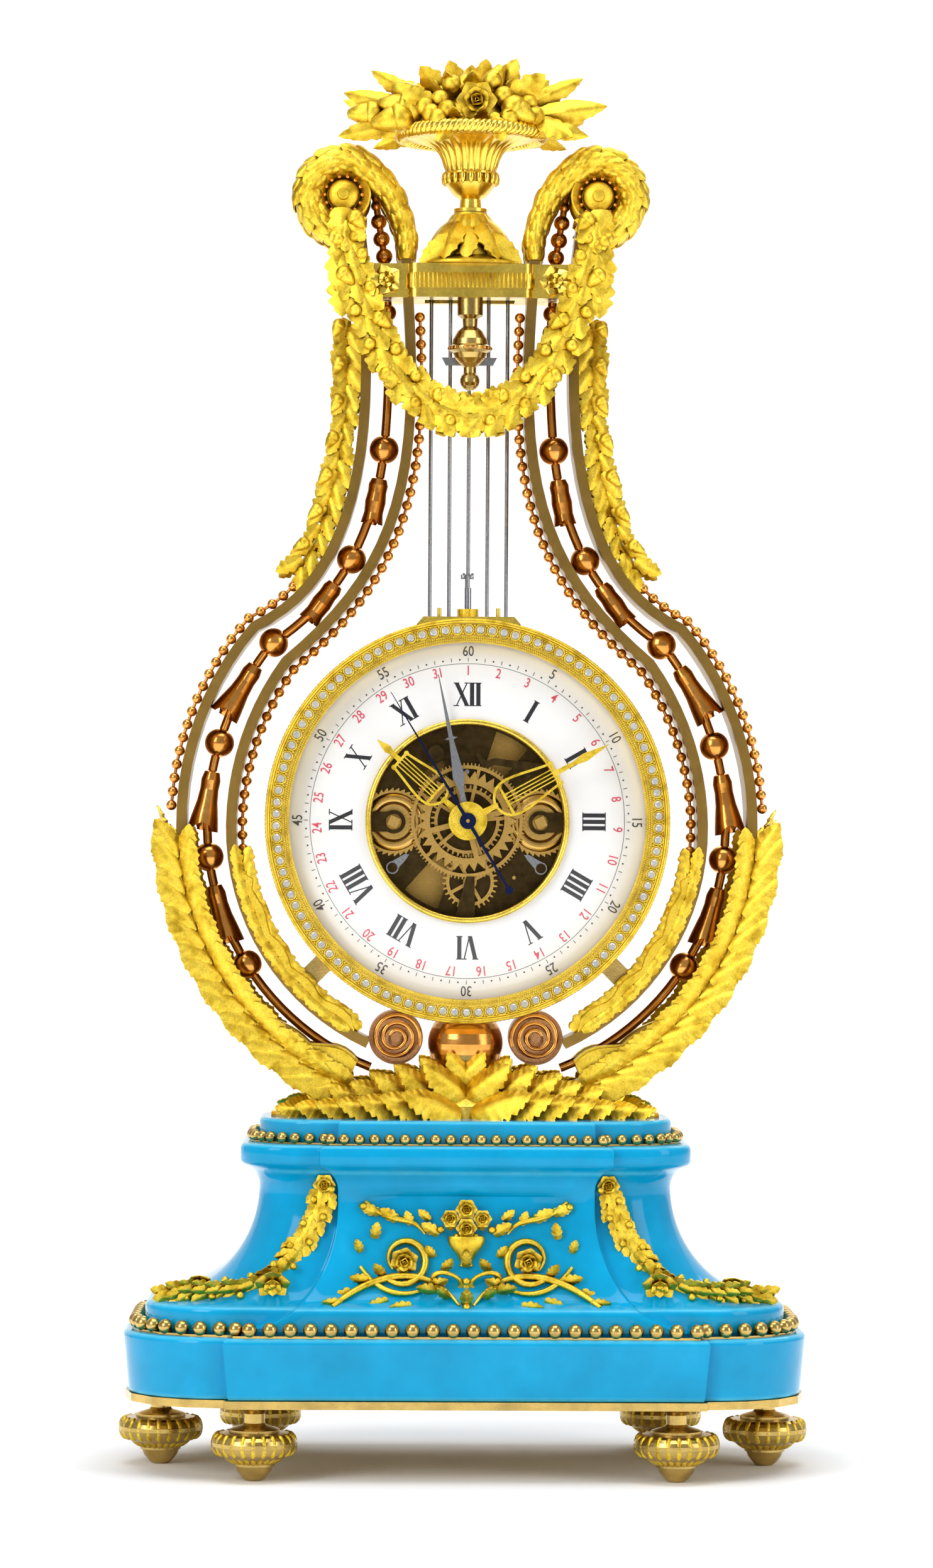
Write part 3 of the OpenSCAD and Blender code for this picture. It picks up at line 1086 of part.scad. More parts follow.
// Motion work and hands
module cannon_wheel() color("goldenrod") difference() {
  union() {
    wheel([0, 0], cannon_y, cannon_n, cannon_m, motion_a, 3.6, 5);
    arbor([0, 0], pipe_r[0], [minute_y + 0.8, cannon_y[1]]);
  }
  arbor([0, 0], arbor_r + run_fit, [minute_y - 1, cannon_y[1] + 1]);
}
module minute_wheel() color("goldenrod") difference() {
  union() {
    wheel(minute_at, cannon_y, minute_n, cannon_m, motion_a + 180 + 180 / minute_n, 3, 4);
    pinion(minute_at, [hour_wheel_y[0] - 0.2, cannon_y[0]], minute_pinion_n, hour_m,
      motion_a + 180 + 180 / minute_pinion_n);
  }
  arbor(minute_at, 0.5 + run_fit, [-12, 0]);
}
module hour_wheel() color("goldenrod") difference() {
  union() {
    wheel([0, 0], hour_wheel_y, hour_n, hour_m, motion_a, 4, 5);
    arbor([0, 0], pipe_r[1], [hour_y + 0.8, hour_wheel_y[1]]);
  }
  arbor([0, 0], pipe_r[0] + run_fit, [hour_y - 1, hour_wheel_y[1] + 1]);
}
module star_wheel() color("goldenrod") difference() {
  union() {
    slab(star_y) translate([0, z_dial]) difference() {
      polygon([for (i = [0:days - 1]) let (a = 360 / days)
        each [polar(star_r, a * i), polar(star_r - 3.6, a * (i + 0.5))]]);
      crossed(5, star_r - 6, 4, 2.4, 15);
    }
    arbor([0, 0], pipe_r[2], [date_y + 0.8, star_y[1]]);
  }
  arbor([0, 0], pipe_r[1] + run_fit, [date_y - 1, star_y[1] + 1]);
}

// A hand's outline from pairs of [reach, half width] along one side
function hand_outline(v) = concat([for (p = v) [p.x, -p.y]], [for (p = reversed(v)) [p.x, p.y]]);
module hand(y, t, a, bore, boss_r) difference() {
  union() {
    slab([y, y + t]) translate([0, z_dial]) rotate(90 - a) children();
    arbor([0, 0], boss_r, [y, y + t]);
  }
  arbor([0, 0], bore, [y - 1, y + t + 1]);
}
// A pierced lyre on a stem, from its foot to its tip
module lyre_hand(reach, foot, head) {
  l = head - foot;
  side = bezier([foot, 0.8], [foot + l * 0.1, l * 0.42], [foot + l * 0.5, l * 0.22], [head, l * 0.16], 12);
  for (s = [-1, 1]) scale([1, s]) {
    polygon(ribbon(side, 1.1));
    translate([foot + l * 0.17, 0.5]) square([l * 0.81, 0.55]);
    translate([foot + l * 0.17, 2.1]) square([l * 0.81, 0.55]);
    translate([head, l * 0.16]) circle(1.1, $fn = 20);
  }
  translate([foot + l * 0.16, -l * 0.24]) square([1.1, l * 0.48]);
  translate([head - 0.6, -l * 0.17]) square([1.2, l * 0.34]);
  polygon(hand_outline([[6, 1.6], [foot + 1, 1]]));
  polygon(hand_outline([[head, 1.2], [mix(head, reach, 0.35), 0.9],
    [mix(head, reach, 0.55), 1.9], [reach, 0.15]]));
}
module seconds_hand() color("navy") hand(seconds_y, 0.8, 6 * shown_seconds, arbor_r, 3.6) {
  polygon(hand_outline([[-35, 0.5], [0, 0.8], [seconds_reach, 0.15]]));
  translate([-35.4, 0]) circle(1.8, $fn = 32);
}
module minute_hand() color("gold") {
  difference() {
    hand(minute_y, 0.8, 6 * shown_minutes, arbor_r + run_fit, 8.5) lyre_hand(minute_reach, 14, 44);
    turned_y(0, z_dial, [[3.8, minute_y - 1], [7.4, minute_y - 1],
      [7.4, minute_y + 0.3], [3.8, minute_y + 0.3]]);
  }
}
hour_ahead = 6.5;
module hour_hand() color("gold")
  hand(hour_y, 0.8, shown_minutes / 2 + hour_ahead, pipe_r[0] + run_fit, 7.2) lyre_hand(hour_reach, 14, 40);
module date_hand() color("silver")
  hand(date_y, 0.8, 360 * (shown_day - 1) / days, pipe_r[1] + run_fit, 5) {
    polygon(hand_outline([[4, 1.8], [9, 1.3], [14, 1.1], [20, 2.7], [26, 2],
      [36, 1], [38, 1], [date_reach, 0.15]]));
    polygon(hand_outline([[36.4, 0.4], [37.2, 3], [38, 0.4]]));
  }

// Plates, cocks and pillars
pillar_at = 52;
hammer_at = [-46, -22];
module plate_bores(y) {
  for (p = [fourth_at, third_at]) arbor(p, arbor_r + run_fit, y);
  arbor([0, 0], arbor_r + run_fit, y);
  arbor(anchor_at, 1 + run_fit, y);
  for (s = [-1, 1]) arbor([s * wind_at.x, wind_at.y], wind_r + run_fit, y);
}
cock_foot = [wind_x + ratchet_r + 0.4, wind_x + ratchet_r + 3.4];
cock_half_w = 4.4;
module front_plate() color("darkgoldenrod") difference() {
  union() {
    slab(front_plate_y) translate([0, z_dial]) difference() {
      circle(plate_r);
      plate_window(25, 42, 50, 72);
      plate_window(22, 29, 112, 134);
      plate_window(20, 41, 228, 252);
      plate_window(44, 52, 285, 308);
    }
    both_sides() {
      slab(cock_y) translate([0, z_dial + wind_at.y]) union() {
        translate([wind_at.x, 0]) circle(5.2);
        translate([wind_at.x, -cock_half_w]) square([cock_foot[1] - wind_at.x, 2 * cock_half_w]);
      }
      slab([cock_y[1], front_plate_y[0]]) translate([cock_foot[0], z_dial + wind_at.y - cock_half_w])
        square([cock_foot[1] - cock_foot[0], 2 * cock_half_w]);
      arbor(click_at, click_r, [ratchet_y[0] - 0.4, front_plate_y[0]]);
      arbor(click_at, 2.2, [ratchet_y[0] - 1.2, ratchet_y[0] - 0.3]);
    }
    slab(cock_y) translate([0, z_dial]) polygon([[minute_at.x - 1.6, -24.6], [minute_at.x + 1.9, -24.6],
      [minute_at.x + 2.2, -42.5], [minute_at.x - 6.6, -42.5]]);
    slab([cock_y[1], front_plate_y[0]]) translate([minute_at.x - 6, z_dial - 42.5]) square([7, 2.6]);
    arbor(minute_at, 0.5, [cock_y[1], front_plate_y[0]]);
    arbor([-14, 30], 1.4, [star_y[0], front_plate_y[0]]);
    arbor([-14, 30], 3.5, [star_y[0] - 1.2, star_y[0]]);
    arbor([31, 24], 1.6, [star_y[0], front_plate_y[0]]);
    slab(star_y) translate([0, z_dial]) polygon([[33, 25.6], [31, 21.8], [12, 25], [9, 23.6],
      [6.6, 24], [3.6, 29.6], [5, 30.2], [8, 26.8], [12, 28]]);
  }
  plate_bores([front_plate_y[0] - 1, front_plate_y[1] + 1]);
  both_sides() arbor(wind_at, 3.5, [cock_y[0] - 1, cock_y[1] + 1]);
}
module plate_window(r0, r1, a0, a1) polygon(concat(
  [for (i = [0:6]) polar(r0, mix(a0, a1, i / 6))], [for (i = [6:-1:0]) polar(r1, mix(a0, a1, i / 6))]));
module back_plate() color("darkgoldenrod") difference() {
  slab(back_plate_y) translate([0, z_dial]) circle(plate_r);
  plate_bores([back_plate_y[0] - 1, back_plate_y[1] + 1]);
  arbor(hammer_at, 1 + run_fit, [back_plate_y[0] - 1, back_plate_y[1] + 1]);
}
module pillars() color("darkgoldenrod") for (a = [45:90:315]) let (p = polar(pillar_at, a))
  turned_y(p.x, z_dial + p.y, [[0, front_plate_y[1]], [2.8, front_plate_y[1]], [2.8, 1], [1.9, 2.4], [2.6, 11],
    [1.9, back_plate_y[0] - 4.4], [2.8, back_plate_y[0] - 3], [2.8, back_plate_y[0]], [0, back_plate_y[0]]]);

// Bracket ring between the dial plate and the front plate, with two arms to the bands
module movement_bracket() color("dimgray") difference() {
  union() {
    slab([dial_plate_y[1], front_plate_y[0]]) translate([0, z_dial]) difference() {
      circle(plate_r + 6);
      circle(plate_r - 6);
    }
    for (a = [225, 315]) slab([front_plate_y[0] - 2, rod_y0]) translate([0, z_dial])
      polygon(ribbon([polar(plate_r + 1, a), polar(inner_band_r + 2, a)], 9));
  }
  inner_band_pair();
}

bell_y = [back_plate_y[1] + 4, back_plate_y[1] + 20];
module bell() color("silver") {
  t = 1.2;
  depth = bell_y[1] - bell_y[0];
  turned_y(0, z_dial, concat(
    [for (a = [0:10:80]) [bell_r * cos(a), bell_y[0] + depth * sin(a)]], [[0, bell_y[1]], [0, bell_y[1] - t]],
    [for (a = [80:-10:0]) [(bell_r - t) * cos(a), bell_y[0] + (depth - t) * sin(a)]]));
  rod(0, z_dial, 2.2, [back_plate_y[1], bell_y[1] + 1]);
  rod(0, z_dial, 4, [bell_y[1] - 0.1, bell_y[1] + 2.4]);
}
module hammer() color("silver") {
  head = [-bell_r - 6.2, 6];
  arbor(hammer_at, 1, [back_plate_y[0], back_plate_y[1] + 4]);
  slab([back_plate_y[1] + 1, back_plate_y[1] + 2.6]) translate([0, z_dial])
    polygon(ribbon([hammer_at + [0.6, -3], hammer_at, head], 2.4));
  arbor(head, 4, [back_plate_y[1] + 1, back_plate_y[1] + 9]);
}
module anchor_crutch() color("silver") {
  y = [21.2, 22.6];
  arbor(anchor_at, 1, between);
  slab(y) translate([0, z_dial]) {
    polygon(ribbon([[-11.2, 13.4], [-8.6, 18.6], [0, 22], [8.6, 18.6], [11.2, 13.4]], 2));
    translate(anchor_at - [1, 0]) square([2, fork_z - z_dial - anchor_at.y]);
    translate([-2.9, fork_z - z_dial - 1]) square([5.8, 2]);
  }
  for (s = [-1, 1]) rod(s * (grid_rod_r + 1.05), fork_z, 0.6, [rod_y0 - 2, y[1]]);
}

feet();
tray();
plinth();
pedestal();
cap();
plinth_beads();
cap_beads();
corner_garlands();
panel_mount();
centre_bolt();
leaf_mound();
ball();
scrolls();
outer_bands();
inner_bands();
outer_beads();
inner_beads();
husk_strings();
leaf_casings();
inner_leaves();
volutes();
leaf_drops();
swag();
yoke();
rosettes();
drop_finial();
finial_stem();
basket();
bouquet();
dial();
dial_plate();
rope_bezel();
front_plate();
back_plate();
pillars();
bell();
movement_bracket();
pendulum_ring();
brilliants();
gridiron();
rating_nut();
anchor_crutch();
escape_wheel();
seconds_hand();
third_wheel();
fourth_wheel();
minute_hand();
cannon_wheel();
minute_wheel();
hour_hand();
hour_wheel();
date_hand();
star_wheel();
time_barrel();
strike_barrel();
right_winding_arbor();
left_winding_arbor();
right_click();
left_click();
hammer();
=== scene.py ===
"""Dresses a gilt lyre clock on a turquoise porcelain base: finishes, leafwork, dial and stage."""

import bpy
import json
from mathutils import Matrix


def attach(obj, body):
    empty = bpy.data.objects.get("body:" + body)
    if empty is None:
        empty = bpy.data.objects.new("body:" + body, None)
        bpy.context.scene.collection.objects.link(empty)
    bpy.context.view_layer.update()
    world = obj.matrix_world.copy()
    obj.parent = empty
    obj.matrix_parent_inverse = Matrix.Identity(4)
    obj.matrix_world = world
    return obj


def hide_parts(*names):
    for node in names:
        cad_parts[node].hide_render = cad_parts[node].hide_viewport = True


bl_info = {
    "name": "Lyre Clock Dressing",
    "version": (1, 0, 0),
    "blender": (4, 5, 0),
    "location": "View3D > Sidebar > Lyre Clock",
    "description": "Leafwork, dial lettering, jewels, finishes and a soft studio for a lyre clock",
    "category": "Object",
}

import json
import math
import random

import bpy
from bpy.props import FloatProperty, FloatVectorProperty, IntProperty, PointerProperty
from mathutils import Matrix, Vector

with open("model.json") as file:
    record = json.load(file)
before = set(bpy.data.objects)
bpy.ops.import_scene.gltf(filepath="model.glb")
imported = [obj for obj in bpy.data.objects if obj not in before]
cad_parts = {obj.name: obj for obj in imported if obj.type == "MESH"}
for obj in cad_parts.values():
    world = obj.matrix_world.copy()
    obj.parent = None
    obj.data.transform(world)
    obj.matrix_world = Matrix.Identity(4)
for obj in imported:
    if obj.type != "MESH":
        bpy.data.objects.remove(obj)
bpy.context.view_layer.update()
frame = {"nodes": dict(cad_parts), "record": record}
MM = 0.001

# Heights and reaches shared with the clock's solid parts, in millimetres
Z_TRAY, Z_LIP, Z_BODY, Z_NECK, Z_CAP, Z_MOUND = 32, 62.5, 75, 125, 144.5, 155
Z_DIAL, Z_YOKE, Z_YOKE_TOP, Z_RIM = 286, 517.5, 532.5, 594.5
Z_OUTER, Z_INNER = Z_DIAL - 1, Z_DIAL - 3.5
OUTER_R, INNER_R = 126.5, 104.5
EYE_X, EYE_Z = 56.5, 563.0
FINIAL_Y = -1
FEET = ((91.5, 60), (-91.5, 60), (91.5, -60), (-91.5, -60), (134.5, 0), (-134.5, 0))
SIDES = (1, -1)


# Sizes and colours

def colour(name, description, default):
    return FloatVectorProperty(name=name, description=description, default=default,
                               subtype="COLOR", size=3, min=0.0, max=1.0)


class LyreClockColours(bpy.types.PropertyGroup):
    gold: colour("Matte gold", "Colour of the leafwork", (0.84, 0.58, 0.05))
    gold_deep: colour("Deep gold", "Colour in the hollows of the leafwork", (0.42, 0.235, 0.008))
    # Painted shade: the gold-hollows colour is laid into the gilding where ambient occlusion finds leaves and
    # folds closing in
    hollow: colour("Gold hollows", "Colour of the gilding deep between leaves", (0.16, 0.07, 0.003))
    satin: colour("Satin gold", "Colour of the smoother gilt mouldings", (0.90, 0.64, 0.10))
    bronze: colour("Bronze gold", "Colour of the bead rows of the base", (0.56, 0.39, 0.12))
    rose: colour("Rose gold", "Colour of the burnished balls and beads", (0.70, 0.31, 0.065))
    olive: colour("Brushed gold", "Colour of the brushed faces of the bands", (0.25, 0.15, 0.035))
    copper: colour("Copper brown", "Colour of the scrolls at the foot", (0.24, 0.10, 0.04))
    glaze: colour("Turquoise glaze", "Colour of the porcelain", (0.001, 0.35, 0.65))
    glaze_thin: colour("Thin glaze", "Colour of the glaze along its edges", (0.12, 0.60, 0.80))
    enamel: colour("Enamel", "Colour of the dial", (0.85, 0.85, 0.85))
    ink: colour("Black ink", "Colour of the hour numbers", (0.012, 0.012, 0.015))
    ink_grey: colour("Grey ink", "Colour of the minute numbers", (0.06, 0.06, 0.075))
    ink_red: colour("Red ink", "Colour of the date numbers", (0.58, 0.06, 0.10))
    brass: colour("Brass", "Colour of the wheels", (0.66, 0.41, 0.11))
    dark: colour("Dark plates", "Colour of the movement plates", (0.032, 0.021, 0.008))
    steel: colour("Steel", "Colour of polished steel", (0.42, 0.43, 0.45))
    blued: colour("Blued steel", "Colour of the seconds hand", (0.02, 0.03, 0.10))
    floor: colour("Floor", "Colour of the floor and backdrop", (0.93, 0.93, 0.93))


def length(name, description, default):
    return FloatProperty(name=name, description=description, default=default * MM,
                         min=0.0, unit="LENGTH", precision=4)


class LyreClockSizes(bpy.types.PropertyGroup):
    roman_height: length("Hour number height", "Height of the Roman numbers", 10.4)
    minute_height: length("Minute number height", "Height of the minute numbers", 4.6)
    date_height: length("Date number height", "Height of the date numbers", 4.4)
    grain: length("Grain radius", "Radius of one grain of the ring's inner edge", 0.46)
    collet: length("Collet radius", "Radius of the rim round one brilliant", 2.3)
    flute: length("Flute width", "Spacing of the flutes of the yoke", 1.9)
    rim_turns: IntProperty(name="Rim turns", description="Turns of the rope round the basket",
                           default=26, min=8, max=60)
    camera_distance: length("Camera distance", "How far the camera stands from the lyre", 2200)


def colours():
    return bpy.context.scene.lyre_clock_colours


def sizes():
    return bpy.context.scene.lyre_clock_sizes


# Working habits

def select(*objects):
    if bpy.context.object and bpy.context.object.mode != "OBJECT":
        bpy.ops.object.mode_set(mode="OBJECT")
    bpy.ops.object.select_all(action="DESELECT")
    for obj in objects:
        obj.select_set(True)
    bpy.context.view_layer.objects.active = objects[0]


def added(name):
    obj = bpy.context.object
    obj.name = name
    obj.data.name = name
    return obj


def linked(name, data):
    obj = bpy.data.objects.new(name, data)
    bpy.context.collection.objects.link(obj)
    return obj


def settle(obj):
    """Puts a piece's place into its mesh, so that its object sits at the origin."""
    select(obj)
    bpy.ops.object.transform_apply(location=True, rotation=True, scale=True)
    return obj


def edit(obj, action="SELECT"):
    """Opens a mesh for editing with all of it selected, or none of it."""
    select(obj)
    bpy.ops.object.mode_set(mode="EDIT")
    bpy.ops.mesh.select_all(action=action)


def edit_some(obj, kind, chosen):
    """Opens a mesh for editing with only the chosen faces or edges selected."""
    edit(obj, "DESELECT")
    end_edit()
    for element in getattr(obj.data, kind):
        element.select = chosen(element)
    bpy.ops.object.mode_set(mode="EDIT")


def end_edit():
    bpy.ops.object.mode_set(mode="OBJECT")


def tidy_mesh(obj, merge=0.02):
    edit(obj)
    bpy.ops.mesh.remove_doubles(threshold=merge * MM)
    bpy.ops.mesh.normals_make_consistent(inside=False)
    end_edit()


def smooth(obj, degrees=40):
    select(obj)
    bpy.ops.object.shade_smooth_by_angle(angle=math.radians(degrees))
    return obj


def modify(obj, kind, **settings):
    select(obj)
    modifier = obj.modifiers.new(kind.title(), kind)
    for key, value in settings.items():
        setattr(modifier, key, value)
    bpy.ops.object.modifier_apply(modifier=modifier.name)


def join_pieces(name, pieces):
    select(*pieces)
    if len(pieces) > 1:
        bpy.ops.object.join()
    return settle(added(name))


def copies(name, template, places, keep=False):
    """Copies a template to every place, each with its own mesh, and joins them."""
    made = []
    for place in places:
        twin = template.copy()
        twin.data = template.data.copy()
        twin.matrix_world = place
        bpy.context.collection.objects.link(twin)
        made.append(twin)
    if not keep:
        bpy.data.objects.remove(template, do_unlink=True)
    return join_pieces(name, made)


def hand_over(obj, finish, *nodes, body="case"):
    """A finished piece rides on its body, takes its finish, and hides what it stands for."""
    obj.data.materials.clear()
    obj.data.materials.append(FINISHES[finish])
    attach(obj, body)
    if nodes:
        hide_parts(*nodes)
    return obj


# Places

def at_angle(radius, degrees):
    return radius * math.cos(math.radians(degrees)), radius * math.sin(math.radians(degrees))


def moved(x, y, z):
    return Matrix.Translation(Vector((x, y, z)) * MM)


def turned(degrees, axis="Z"):
    return Matrix.Rotation(math.radians(degrees), 4, axis)


def sized(scale):
    return Matrix.Scale(scale, 4)


def on_front(x, z, y, heading, size=1.0, lift=0.0, roll=0.0, wide=1.0):
    """A place on the front: a piece that lies along +X points along the heading, in degrees
    from the right, upwards; lift raises its tip to the viewer and roll turns it about itself."""
    a = math.radians(heading)
    turn = Matrix(((math.cos(a), -math.sin(a), 0, 0), (0, 0, -1, 0),
                   (math.sin(a), math.cos(a), 0, 0), (0, 0, 0, 1)))
    scale = Matrix.Diagonal((size, size * wide, size, 1))
    return moved(x, y, z) @ turn @ turned(-lift, "Y") @ turned(roll, "X") @ scale


def facing(spot, lie, normal):
    """A place for a leaf that lies along one direction and faces another."""
    return moved(*spot) @ Matrix((lie, normal.cross(lie), normal)).transposed().to_4x4()


def mirrored(items):
    """Leaves as [x, z, y, heading, size, lift, roll], with their reflections."""
    return items + [(-x, z, y, 180 - heading, size, lift, -roll)
                    for x, z, y, heading, size, lift, roll in items]


def both_sides(items):
    """Places on the front for leaves and their reflections."""
    return [on_front(*item) for item in mirrored(items)]


def along(points, pitch):
    """Evenly spaced [x, z, heading] stations along a line of [x, z] points."""
    runs = [0.0]
    for a, b in zip(points, points[1:]):
        runs.append(runs[-1] + math.dist(a, b))
    count = max(1, round(runs[-1] / pitch))
    found = []
    for k in range(count + 1):
        s = runs[-1] * k / count
        i = max(j for j in range(len(points) - 1) if runs[j] <= s + 1e-9)
        t = (s - runs[i]) / (runs[i + 1] - runs[i])
        (ax, az), (bx, bz) = points[i], points[i + 1]
        found.append((ax + (bx - ax) * t, az + (bz - az) * t, math.degrees(math.atan2(bz - az, bx - ax))))
    return found


def bezier(a, b, c, d, n):
    points = []
    for t in [i / n for i in range(n + 1)]:
        shares = ((1 - t) ** 3, 3 * (1 - t) ** 2 * t, 3 * (1 - t) * t * t, t ** 3)
        points.append(tuple(sum(share * p[k] for share, p in zip(shares, (a, b, c, d))) for k in (0, 1)))
    return points


# Finishes

def times(shade, factor, lift=0.0):
    return [min(1, v * factor + lift) for v in shade]


class Finish:
    """A material whose pattern is made from nodes on Object coordinates, in millimetres."""

    def __init__(self, name):
        self.material = bpy.data.materials.new(name)
        self.material.use_nodes = True
        self.tree = self.material.node_tree
        self.shader = self.tree.nodes["Principled BSDF"]
        coordinates = self.node("ShaderNodeTexCoord").outputs["Object"]
        self.place = self.stretched((1 / MM, 1 / MM, 1 / MM), coordinates)

    def join(self, a, b):
        self.tree.links.new(a, b)

    def node(self, kind, **values):
        node = self.tree.nodes.new(kind)
        for key, value in values.items():
            if key.replace("_", " ") in node.inputs:
                node.inputs[key.replace("_", " ")].default_value = value
            else:
                setattr(node, key, value)
        return node

    def stretched(self, scale, source=None):
        node = self.node("ShaderNodeMapping", Scale=scale)
        self.join(source or self.place, node.inputs["Vector"])
        return node.outputs["Vector"]

    def noise(self, scale, detail=3.0, rough=0.55, vector=None):
        node = self.node("ShaderNodeTexNoise", Scale=scale, Detail=detail, Roughness=rough)
        self.join(vector or self.place, node.inputs["Vector"])
        return node.outputs["Fac"]

    def ramp(self, source, stops):
        node = self.node("ShaderNodeValToRGB")
        elements = node.color_ramp.elements
        while len(elements) < len(stops):
            elements.new(0.5)
        for element, (position, value) in zip(elements, stops):
            element.position = position
            element.color = (*value, 1) if hasattr(value, "__len__") else (value, value, value, 1)
        self.join(source, node.inputs["Fac"])
        return node.outputs["Color"]

    def mix(self, factor, a, b):
        node = self.node("ShaderNodeMix", data_type="RGBA")
        self.join(factor, node.inputs["Factor"])
        for socket, value in ((node.inputs[6], a), (node.inputs[7], b)):
            if hasattr(value, "is_linked"):
                self.join(value, socket)
            else:
                socket.default_value = (*value, 1)
        return node.outputs[2]

    def maths(self, operation, a, b):
        node = self.node("ShaderNodeMath", operation=operation)
        self.join(a, node.inputs[0])
        self.join(b, node.inputs[1])
        return node.outputs["Value"]

    def span(self, source, low, high, start=0.0, end=1.0):
        node = self.node("ShaderNodeMapRange", From_Min=start, From_Max=end, To_Min=low, To_Max=high)
        self.join(source, node.inputs["Value"])
        return node.outputs["Result"]

    def hollows(self, tone, dark, reach=5.0):
        """The tone, darkened where neighbouring leaves and folds close in on each other."""
        # Ambient occlusion decides where the painted shade falls
        node = self.node("ShaderNodeAmbientOcclusion", samples=6, only_local=True, Distance=reach * MM)
        return self.mix(self.ramp(node.outputs["AO"], [(0.18, 0.0), (0.72, 1.0)]), dark, tone)

    def colour(self, source):
        self.join(source, self.shader.inputs["Base Color"])

    def rough(self, source, low, high):
        self.join(self.span(source, low, high), self.shader.inputs["Roughness"])

    def bump(self, source, strength, depth):
        node = self.node("ShaderNodeBump", Strength=strength, Distance=depth * MM)
        self.join(source, node.inputs["Height"])
        self.join(node.outputs["Normal"], self.shader.inputs["Normal"])

    def done(self, **values):
        """Sets the shader's own sockets and gives the material."""
        for key, value in values.items():
            self.shader.inputs[key.replace("_", " ")].default_value = value
        return self.material


def matte_gilding():
    c, f = colours(), Finish("matte gilding")
    fine = f.noise(1.6, 5.0, 0.65)
    tone = f.ramp(f.noise(0.16, 4.0), [(0.32, c.gold_deep), (0.48, c.gold), (0.75, (0.93, 0.70, 0.09))])
    tone = f.mix(f.ramp(fine, [(0.34, 0.0), (0.56, 1.0)]), times(c.gold, 0.7), tone)
    # Painted shade in the hollows between leaves, in the gold-hollows colour
    f.colour(f.hollows(tone, c.hollow))
    f.rough(fine, 0.20, 0.50)
    f.bump(f.noise(2.4, 6.0, 0.7), 0.55, 0.22)
    return f.done(Metallic=1.0)


def rose_gilding():
    c, f = colours(), Finish("burnished rose gilding")
    cloud = f.noise(0.12, 3.0)
    f.colour(f.ramp(cloud, [(0.3, times(c.rose, 0.78)), (0.55, c.rose), (0.8, (0.82, 0.45, 0.13))]))
    f.rough(f.noise(0.7, 4.0), 0.13, 0.28)
    f.bump(f.noise(0.5, 3.0), 0.10, 0.2)
    return f.done(Metallic=1.0)


def satin_gilding(name, shade):
    f = Finish(name)
    tone = f.ramp(f.noise(0.10, 3.0), [(0.3, times(shade, 0.72)), (0.6, shade)])
    # Painted shade in the folds, a fifth as bright as the satin colour
    f.colour(f.hollows(tone, times(shade, 0.2), 3.0))
    f.rough(f.noise(0.8, 4.0), 0.14, 0.34)
    f.bump(f.noise(1.4, 4.0), 0.22, 0.2)
    return f.done(Metallic=1.0)


def brushed_gilding():
    c, f = colours(), Finish("brushed gilding")
    brush = f.noise(1.0, 5.0, 0.7, f.stretched((6.0, 0.25, 0.5)))
    tone = f.ramp(brush, [(0.3, times(c.olive, 0.62)), (0.7, c.olive)])
    f.colour(f.mix(f.noise(0.09, 3.0), tone, times(c.olive, 1.5)))
    f.rough(brush, 0.22, 0.46)
    f.bump(brush, 0.28, 0.15)
    return f.done(Metallic=1.0)


def copper_patina():
    c, f = colours(), Finish("copper patina")
    speck = f.noise(3.2, 5.0, 0.75)
    f.colour(f.mix(f.ramp(speck, [(0.42, 0.0), (0.58, 1.0)]), c.copper, (0.50, 0.27, 0.12)))
    f.rough(speck, 0.26, 0.52)
    f.bump(speck, 0.7, 0.3)
    return f.done(Metallic=1.0)


def turquoise_glaze():
    """Porcelain glaze that thins to a paler tone along each edge of the base."""
    c, f = colours(), Finish("turquoise glaze")
    low, high = Z_TRAY, 160
    split = f.node("ShaderNodeSeparateXYZ")
    f.join(f.place, split.inputs["Vector"])
    stops = []
    for z, reach in ((36.4, 1.2), (61.9, 1.2), (74.4, 1.0), (132.6, 1.4), (144.0, 1.0), (154.3, 1.1)):
        for dz, value in ((-reach, 0.0), (0, 1.0), (reach, 0.0)):
            stops.append(((z + dz - low) / (high - low), value))
    edge = f.ramp(f.span(split.outputs["Z"], 0, 1, low, high), stops)
    body = f.ramp(f.noise(0.035, 3.0), [(0.3, times(c.glaze, 0.82)), (0.62, c.glaze),
                                        (0.85, times(c.glaze, 1.12, 0.01))])
    thin = f.maths("MULTIPLY", edge, f.span(f.noise(0.22, 3.0), 0.25, 0.85))
    f.colour(f.mix(thin, body, c.glaze_thin))
    f.rough(f.noise(0.3, 4.0), 0.05, 0.14)
    f.bump(f.noise(0.045, 2.0), 0.16, 1.2)
    return f.done(Specular_IOR_Level=0.2)


def white_enamel():
    c, f = colours(), Finish("white enamel")
    f.colour(f.ramp(f.noise(0.05, 3.0), [(0.3, times(c.enamel, 0.965)), (0.7, c.enamel)]))
    f.rough(f.noise(0.5, 3.0), 0.08, 0.16)
    f.bump(f.noise(0.06, 2.0), 0.10, 0.6)
    return f.done(Coat_Weight=0.5, Coat_Roughness=0.05)


def grained_metal(name, low, high, grain, roughness, bump, stretch=(1, 1, 1), relief=None):
    """Metal whose grain shows in its tone and its sheen, and in its relief unless that is given."""
    f = Finish(name)
    source = f.noise(*grain, vector=f.stretched(stretch))
    f.colour(f.ramp(source, [(0.3, low), (0.7, high)]))
    f.rough(source, *roughness)
    f.bump(f.noise(*relief) if relief else source, *bump)
    return f.done(Metallic=1.0)


def wheel_brass():
    shade = colours().brass
    return grained_metal("wheel brass", times(shade, 0.7), shade, (1.2, 5.0, 0.7), (0.18, 0.40),
                         (0.18, 0.1), stretch=(1.0, 1.0, 5.0))


